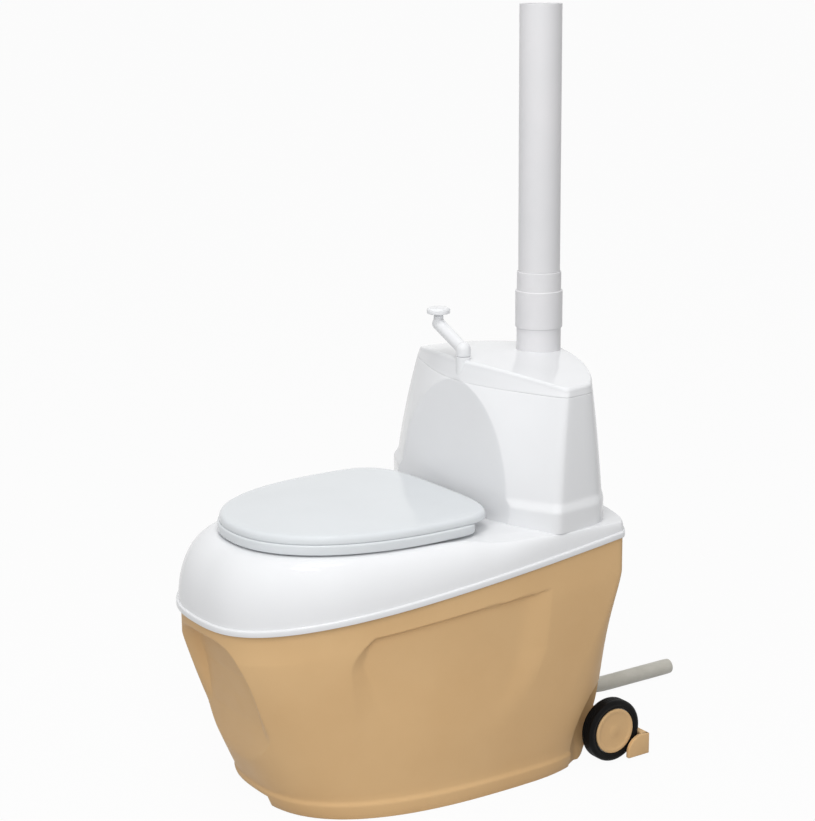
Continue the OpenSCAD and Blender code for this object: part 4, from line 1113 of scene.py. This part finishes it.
HUB_R = 13.2
ARM_R = 11.8
KNOB_R = 21.3
KNOB_H = 11
CRANK_THROW = 98
CRANK_RISE = 30
CRANK_ANGLE = 172
CRANK_LOW = COLUMN_TOP + 0.3
CRANK_MID = CRANK_LOW + HUB_R - 1
GRIP = (CRANK_THROW * cosd(CRANK_ANGLE), CRANK_Y + CRANK_THROW * sind(CRANK_ANGLE),
        CRANK_MID + CRANK_RISE)
KNOB_LOW = GRIP[2] + ARM_R + 7
SPINDLE_LOW = SEAM_Z + 0.4
DRIVE_HALF = 2.5
DRIVE_UP = 24
VOXEL = 0.0011  # metres, of the mesh that blends hub, arm and boss


def crank_body():
    def dome(r, z):
        return [(r * cosd(a), z + r * sind(a)) for a in range(0, 90, 10)] + [(0, z + r)]

    hub = [(0, CRANK_LOW), (HUB_R - 1, CRANK_LOW), (HUB_R, CRANK_LOW + 1)] + dome(HUB_R, CRANK_MID)
    hub = lathe("hub_part", hub, (0, CRANK_Y, 0), sides=48)
    root = Vector((0, CRANK_Y, CRANK_MID))
    tip = Vector(GRIP) - root
    far = tip.length
    arm = [(0, 2), (ARM_R - 0.6, 2), (ARM_R - 0.3, far / 2)] + dome(ARM_R, far)
    arm = lathe("arm_part", arm, sides=48)
    turn = tip.normalized().to_track_quat("Z", "Y").to_matrix()
    for v in arm.data.vertices:
        v.co = turn @ v.co + root * MM
    boss = rod("boss_part", 9, -4, ARM_R + 3, GRIP)
    body = join("crank_body", [hub, arm, boss])
    melt = body.modifiers.new("melt", "REMESH")
    melt.mode = "VOXEL"
    melt.voxel_size = VOXEL
    soften = body.modifiers.new("soften", "SMOOTH")
    soften.factor = 0.5
    soften.iterations = 7
    apply_modifiers(body)
    shade(body, 60)
    stand_for(body, "crank_arm")


def crank_spindle():
    low, high = SPINDLE_LOW, CRANK_LOW + 3
    profile = [(0, low), (SPIGOT_R - 0.7, low), (SPIGOT_R, low + 0.8), (SPIGOT_R, high), (0, high)]
    spindle = lathe("crank_spindle", profile, (0, CRANK_Y, 0), sides=64)
    half = DRIVE_HALF + 0.02
    cut(spindle, block("socket_cut", (-half, CRANK_Y - half, low - 2),
                       (half, CRANK_Y + half, low + DRIVE_UP + 0.3)))
    shade(spindle)
    extra(spindle, "crank_arm")


def crank_knob():
    """The knob and, in one moulding with it, a neck that flares round the stem."""
    bore, top = 6.7, KNOB_H
    neck = [(bore, 0.3), (bore, -6.4), (7.0, -6.6), (7.3, -6.2), (7.6, -4.4), (8.3, -2.6), (9.6, -1.1),
            (12.5, -0.2), (KNOB_R - 2, 0)]
    head = arc(KNOB_R - 2, 2, 2, -90, 0, 6)[1:] + arc(KNOB_R - 5.2, 5.6, 5.2, 0, 80, 9)
    head += [(KNOB_R - 9, top - 0.1), (KNOB_R - 15, top), (0, top)]
    profile = [(r, KNOB_LOW + up) for r, up in [(0, 0.3)] + neck + head]
    stand_for(lathe("crank_handle", profile, (GRIP[0], GRIP[1], 0)), "crank_knob")


crank_body()
crank_spindle()
crank_knob()


# ---- wheels -------------------------------------------------------------------------

TYRE_R = 57
TYRE_W = 28
TYRE_SEAT = TYRE_R - 15  # radius where the tyre sits on the hub
TYRE_CORNER = (7, 6.4)  # how far its corners are round, in radius and width
GROOVES = (9.5, 14, 18.5)
WHEEL_CAP_R = 41
WHEEL_CAP_T = 4.2


def tyre_profile():
    def corner(mid, angles):
        return [(TYRE_R - deep + deep * cosd(a), mid + wide * sind(a)) for a in angles]

    deep, wide = TYRE_CORNER
    lip = WHEEL_CAP_R
    profile = [(TYRE_SEAT + 0.05, 2.4), (TYRE_SEAT + 0.5, 1.7), (lip + 3, 1.1), (lip + 4.2, 0.8),
               (lip + 5, 1.3), (lip + 5.8, 0.6)] + corner(wide, spaced(-90, 0, 10)[:-1])
    for at in GROOVES:
        profile += [(TYRE_R, at - 1.2), (TYRE_R - 0.9, at - 0.6), (TYRE_R - 0.9, at + 0.6),
                    (TYRE_R, at + 1.2)]
    return profile + corner(TYRE_W - wide, range(0, 100, 10)) + [(TYRE_SEAT + 0.05, TYRE_W - 2)]


def wheels():
    cover = [(0, 0.9), (9, 0.9), (10.5, 1.4), (12, 1.6), (30, 1.6), (33, 1.2), (35, 0.2), (36.2, 0)]
    cover += arc(WHEEL_CAP_R - 1.6, 1.6, 1.6, -90, 0, 6) + [(WHEEL_CAP_R, WHEEL_CAP_T), (0, WHEEL_CAP_T)]
    for s, side, axis in ((1, "right", "-x"), (-1, "left", "x")):
        at = (s * WHEEL_X, WHEEL_Y, WHEEL_Z)
        stand_for(lathe("wheel_tread_" + side, tyre_profile(), at, axis, 120, crease=50), "tyre_" + side)
        stand_for(lathe("wheel_cover_" + side, cover, at, axis, 120), "hub_cap_" + side)


wheels()


# ---- rear steps -----------------------------------------------------------------------

STEP_HALF = RIM_HALF - 8
STEP_REAR = 389
STEP_LOW = 8
STEP_TOP = 47
STEP_T = 7
STEP_GAP = 150
ARM_HALF = 13
EAR_X = WHEEL_X + 2  # inner face of the ears
EAR_FRONT = WHEEL_Y + 24
EAR_R = 32
SCREW_HEIGHTS = (17, 35)


def rear_steps():
    face = STEP_REAR - STEP_T
    outline = [(STEP_REAR, STEP_LOW), (STEP_REAR, STEP_TOP)]
    outline += [(EAR_FRONT + EAR_R - EAR_R * cosd(a), STEP_TOP - EAR_R + EAR_R * sind(a))
                for a in range(90, -1, -6)] + [(EAR_FRONT, STEP_LOW)]
    for side, s in (("right", 1), ("left", -1)):
        def box(name, x0, x1, y0, y1, z0, z1, r):
            a, b = sorted((s * x0, s * x1))
            return rounded(block(name, (a, y0, z0), (b, y1, z1)), r)

        ear = prism("ear", [(s * EAR_X, y, z) for y, z in outline],
                    [(s * STEP_HALF, y, z) for y, z in outline])
        parts = [box("bar", STEP_GAP / 2, STEP_HALF - 0.5, face, STEP_REAR, STEP_LOW, STEP_TOP, 1.6),
                 box("lip", STEP_GAP / 2, STEP_HALF - 4, face - 6, face + 2, STEP_TOP - 4, STEP_TOP, 1.2),
                 box("arm", ARM_X - ARM_HALF, ARM_X + ARM_HALF, DRAIN_FACE + 0.1, face + 2, STEP_LOW + 2,
                     STEP_TOP - 5, 1.5),
                 rounded(ear, 1.6, 30)]
        sinks = [rod("sink", 5.6, DRAIN_FACE + 8, DRAIN_FACE + 60, (s * ARM_X, 0, z), "y", 32)
                 for z in SCREW_HEIGHTS]
        body = join("step_" + side, parts)
        cut(body, *sinks)
        shade(body, 40)
        (stand_for if s > 0 else extra)(body, "rear_steps")


rear_steps()


# ---- solids that stay as they are ---------------------------------------------------

for node_name, node_obj in frame["nodes"].items():
    paint(node_obj, MATERIAL_OF[NODE_SLOT[node_name]])


# ---- floor, world and lamps -----------------------------------------------------------

FLOOR_SEEN = 0.96
FLOOR_GREY = 0.52
WORLD_LIGHT = 0.36
LAMP_TARGET = Vector((0, 0, 0.35))


def white_to_the_eye(tree, output, dull, white, share):
    """A share of plain white for the rays that look at a surface, and the dull shader for the rest."""
    nodes, links = tree.nodes, tree.links
    path = nodes.new("ShaderNodeLightPath")
    seen = path.outputs["Is Camera Ray"]
    for kind in ("Is Glossy Ray", "Is Transmission Ray"):
        either = nodes.new("ShaderNodeMath")
        either.operation = "MAXIMUM"
        links.new(seen, either.inputs[0])
        links.new(path.outputs[kind], either.inputs[1])
        seen = either.outputs[0]
    scaled = nodes.new("ShaderNodeMath")
    scaled.operation = "MULTIPLY"
    scaled.inputs[1].default_value = share
    links.new(seen, scaled.inputs[0])
    blend = nodes.new("ShaderNodeMixShader")
    links.new(scaled.outputs[0], blend.inputs[0])
    links.new(dull.outputs[0], blend.inputs[1])
    links.new(white.outputs[0], blend.inputs[2])
    links.new(blend.outputs[0], output.inputs["Surface"])


def studio_floor():
    far = 100
    corners = [(-far, -far, 0), (far, -far, 0), (far, far, 0), (-far, far, 0)]
    floor = make("floor", corners, [(0, 1, 2, 3)], scale=1)
    mat = bpy.data.materials.new("studio_floor")
    mat.use_nodes = True
    nodes = mat.node_tree.nodes
    nodes.clear()
    dull = nodes.new("ShaderNodeBsdfDiffuse")
    dull.inputs["Color"].default_value = (FLOOR_GREY, FLOOR_GREY, FLOOR_GREY, 1)
    glow = nodes.new("ShaderNodeEmission")
    glow.inputs["Color"].default_value = (1, 1, 1, 1)
    glow.inputs["Strength"].default_value = 1.0
    white_to_the_eye(mat.node_tree, nodes.new("ShaderNodeOutputMaterial"), dull, glow, FLOOR_SEEN)
    floor.data.materials.append(mat)


def studio_world():
    world = bpy.data.worlds.new("studio")
    bpy.context.scene.world = world
    world.use_nodes = True
    nodes = world.node_tree.nodes
    nodes.clear()
    soft, white = nodes.new("ShaderNodeBackground"), nodes.new("ShaderNodeBackground")
    for shade_node, strength in ((soft, WORLD_LIGHT), (white, 1.0)):
        shade_node.inputs["Color"].default_value = (1, 1, 1, 1)
        shade_node.inputs["Strength"].default_value = strength
    white_to_the_eye(world.node_tree, nodes.new("ShaderNodeOutputWorld"), soft, white, 1.0)


def lamp(name, azimuth, height, reach, size, watts, shine=True):
    """An area lamp that faces the toilet, with a size of (width, length) in metres."""
    data = bpy.data.lights.new(name, "AREA")
    data.shape = "RECTANGLE"
    data.size, data.size_y = size
    data.energy = watts
    obj = bpy.data.objects.new(name, data)
    bpy.context.scene.collection.objects.link(obj)
    flat = cosd(height)
    spot = LAMP_TARGET + reach * Vector((cosd(azimuth) * flat, sind(azimuth) * flat, sind(height)))
    turn = (spot - LAMP_TARGET).to_track_quat("Z", "Y").to_matrix().to_4x4()
    obj.matrix_world = Matrix.Translation(spot) @ turn
    obj.visible_glossy = shine


bpy.context.scene.view_settings.view_transform = "Standard"
studio_floor()
studio_world()
# two broad soft lamps, and small ones whose reflections show the gloss
lamp("key", -40, 34, 4.2, (3.4, 3.4), 105, shine=False)
lamp("top", -60, 84, 3.6, (2.6, 2.6), 36, shine=False)
lamp("strip_a", -52, 74, 3.4, (0.42, 0.09), 3.6)
lamp("strip_b", -80, 86, 3.2, (0.5, 0.07), 3.2)
lamp("strip_c", -35, 68, 3.4, (0.4, 0.08), 3.2)
lamp("strip_d", -15, 80, 3.6, (0.6, 0.05), 3)
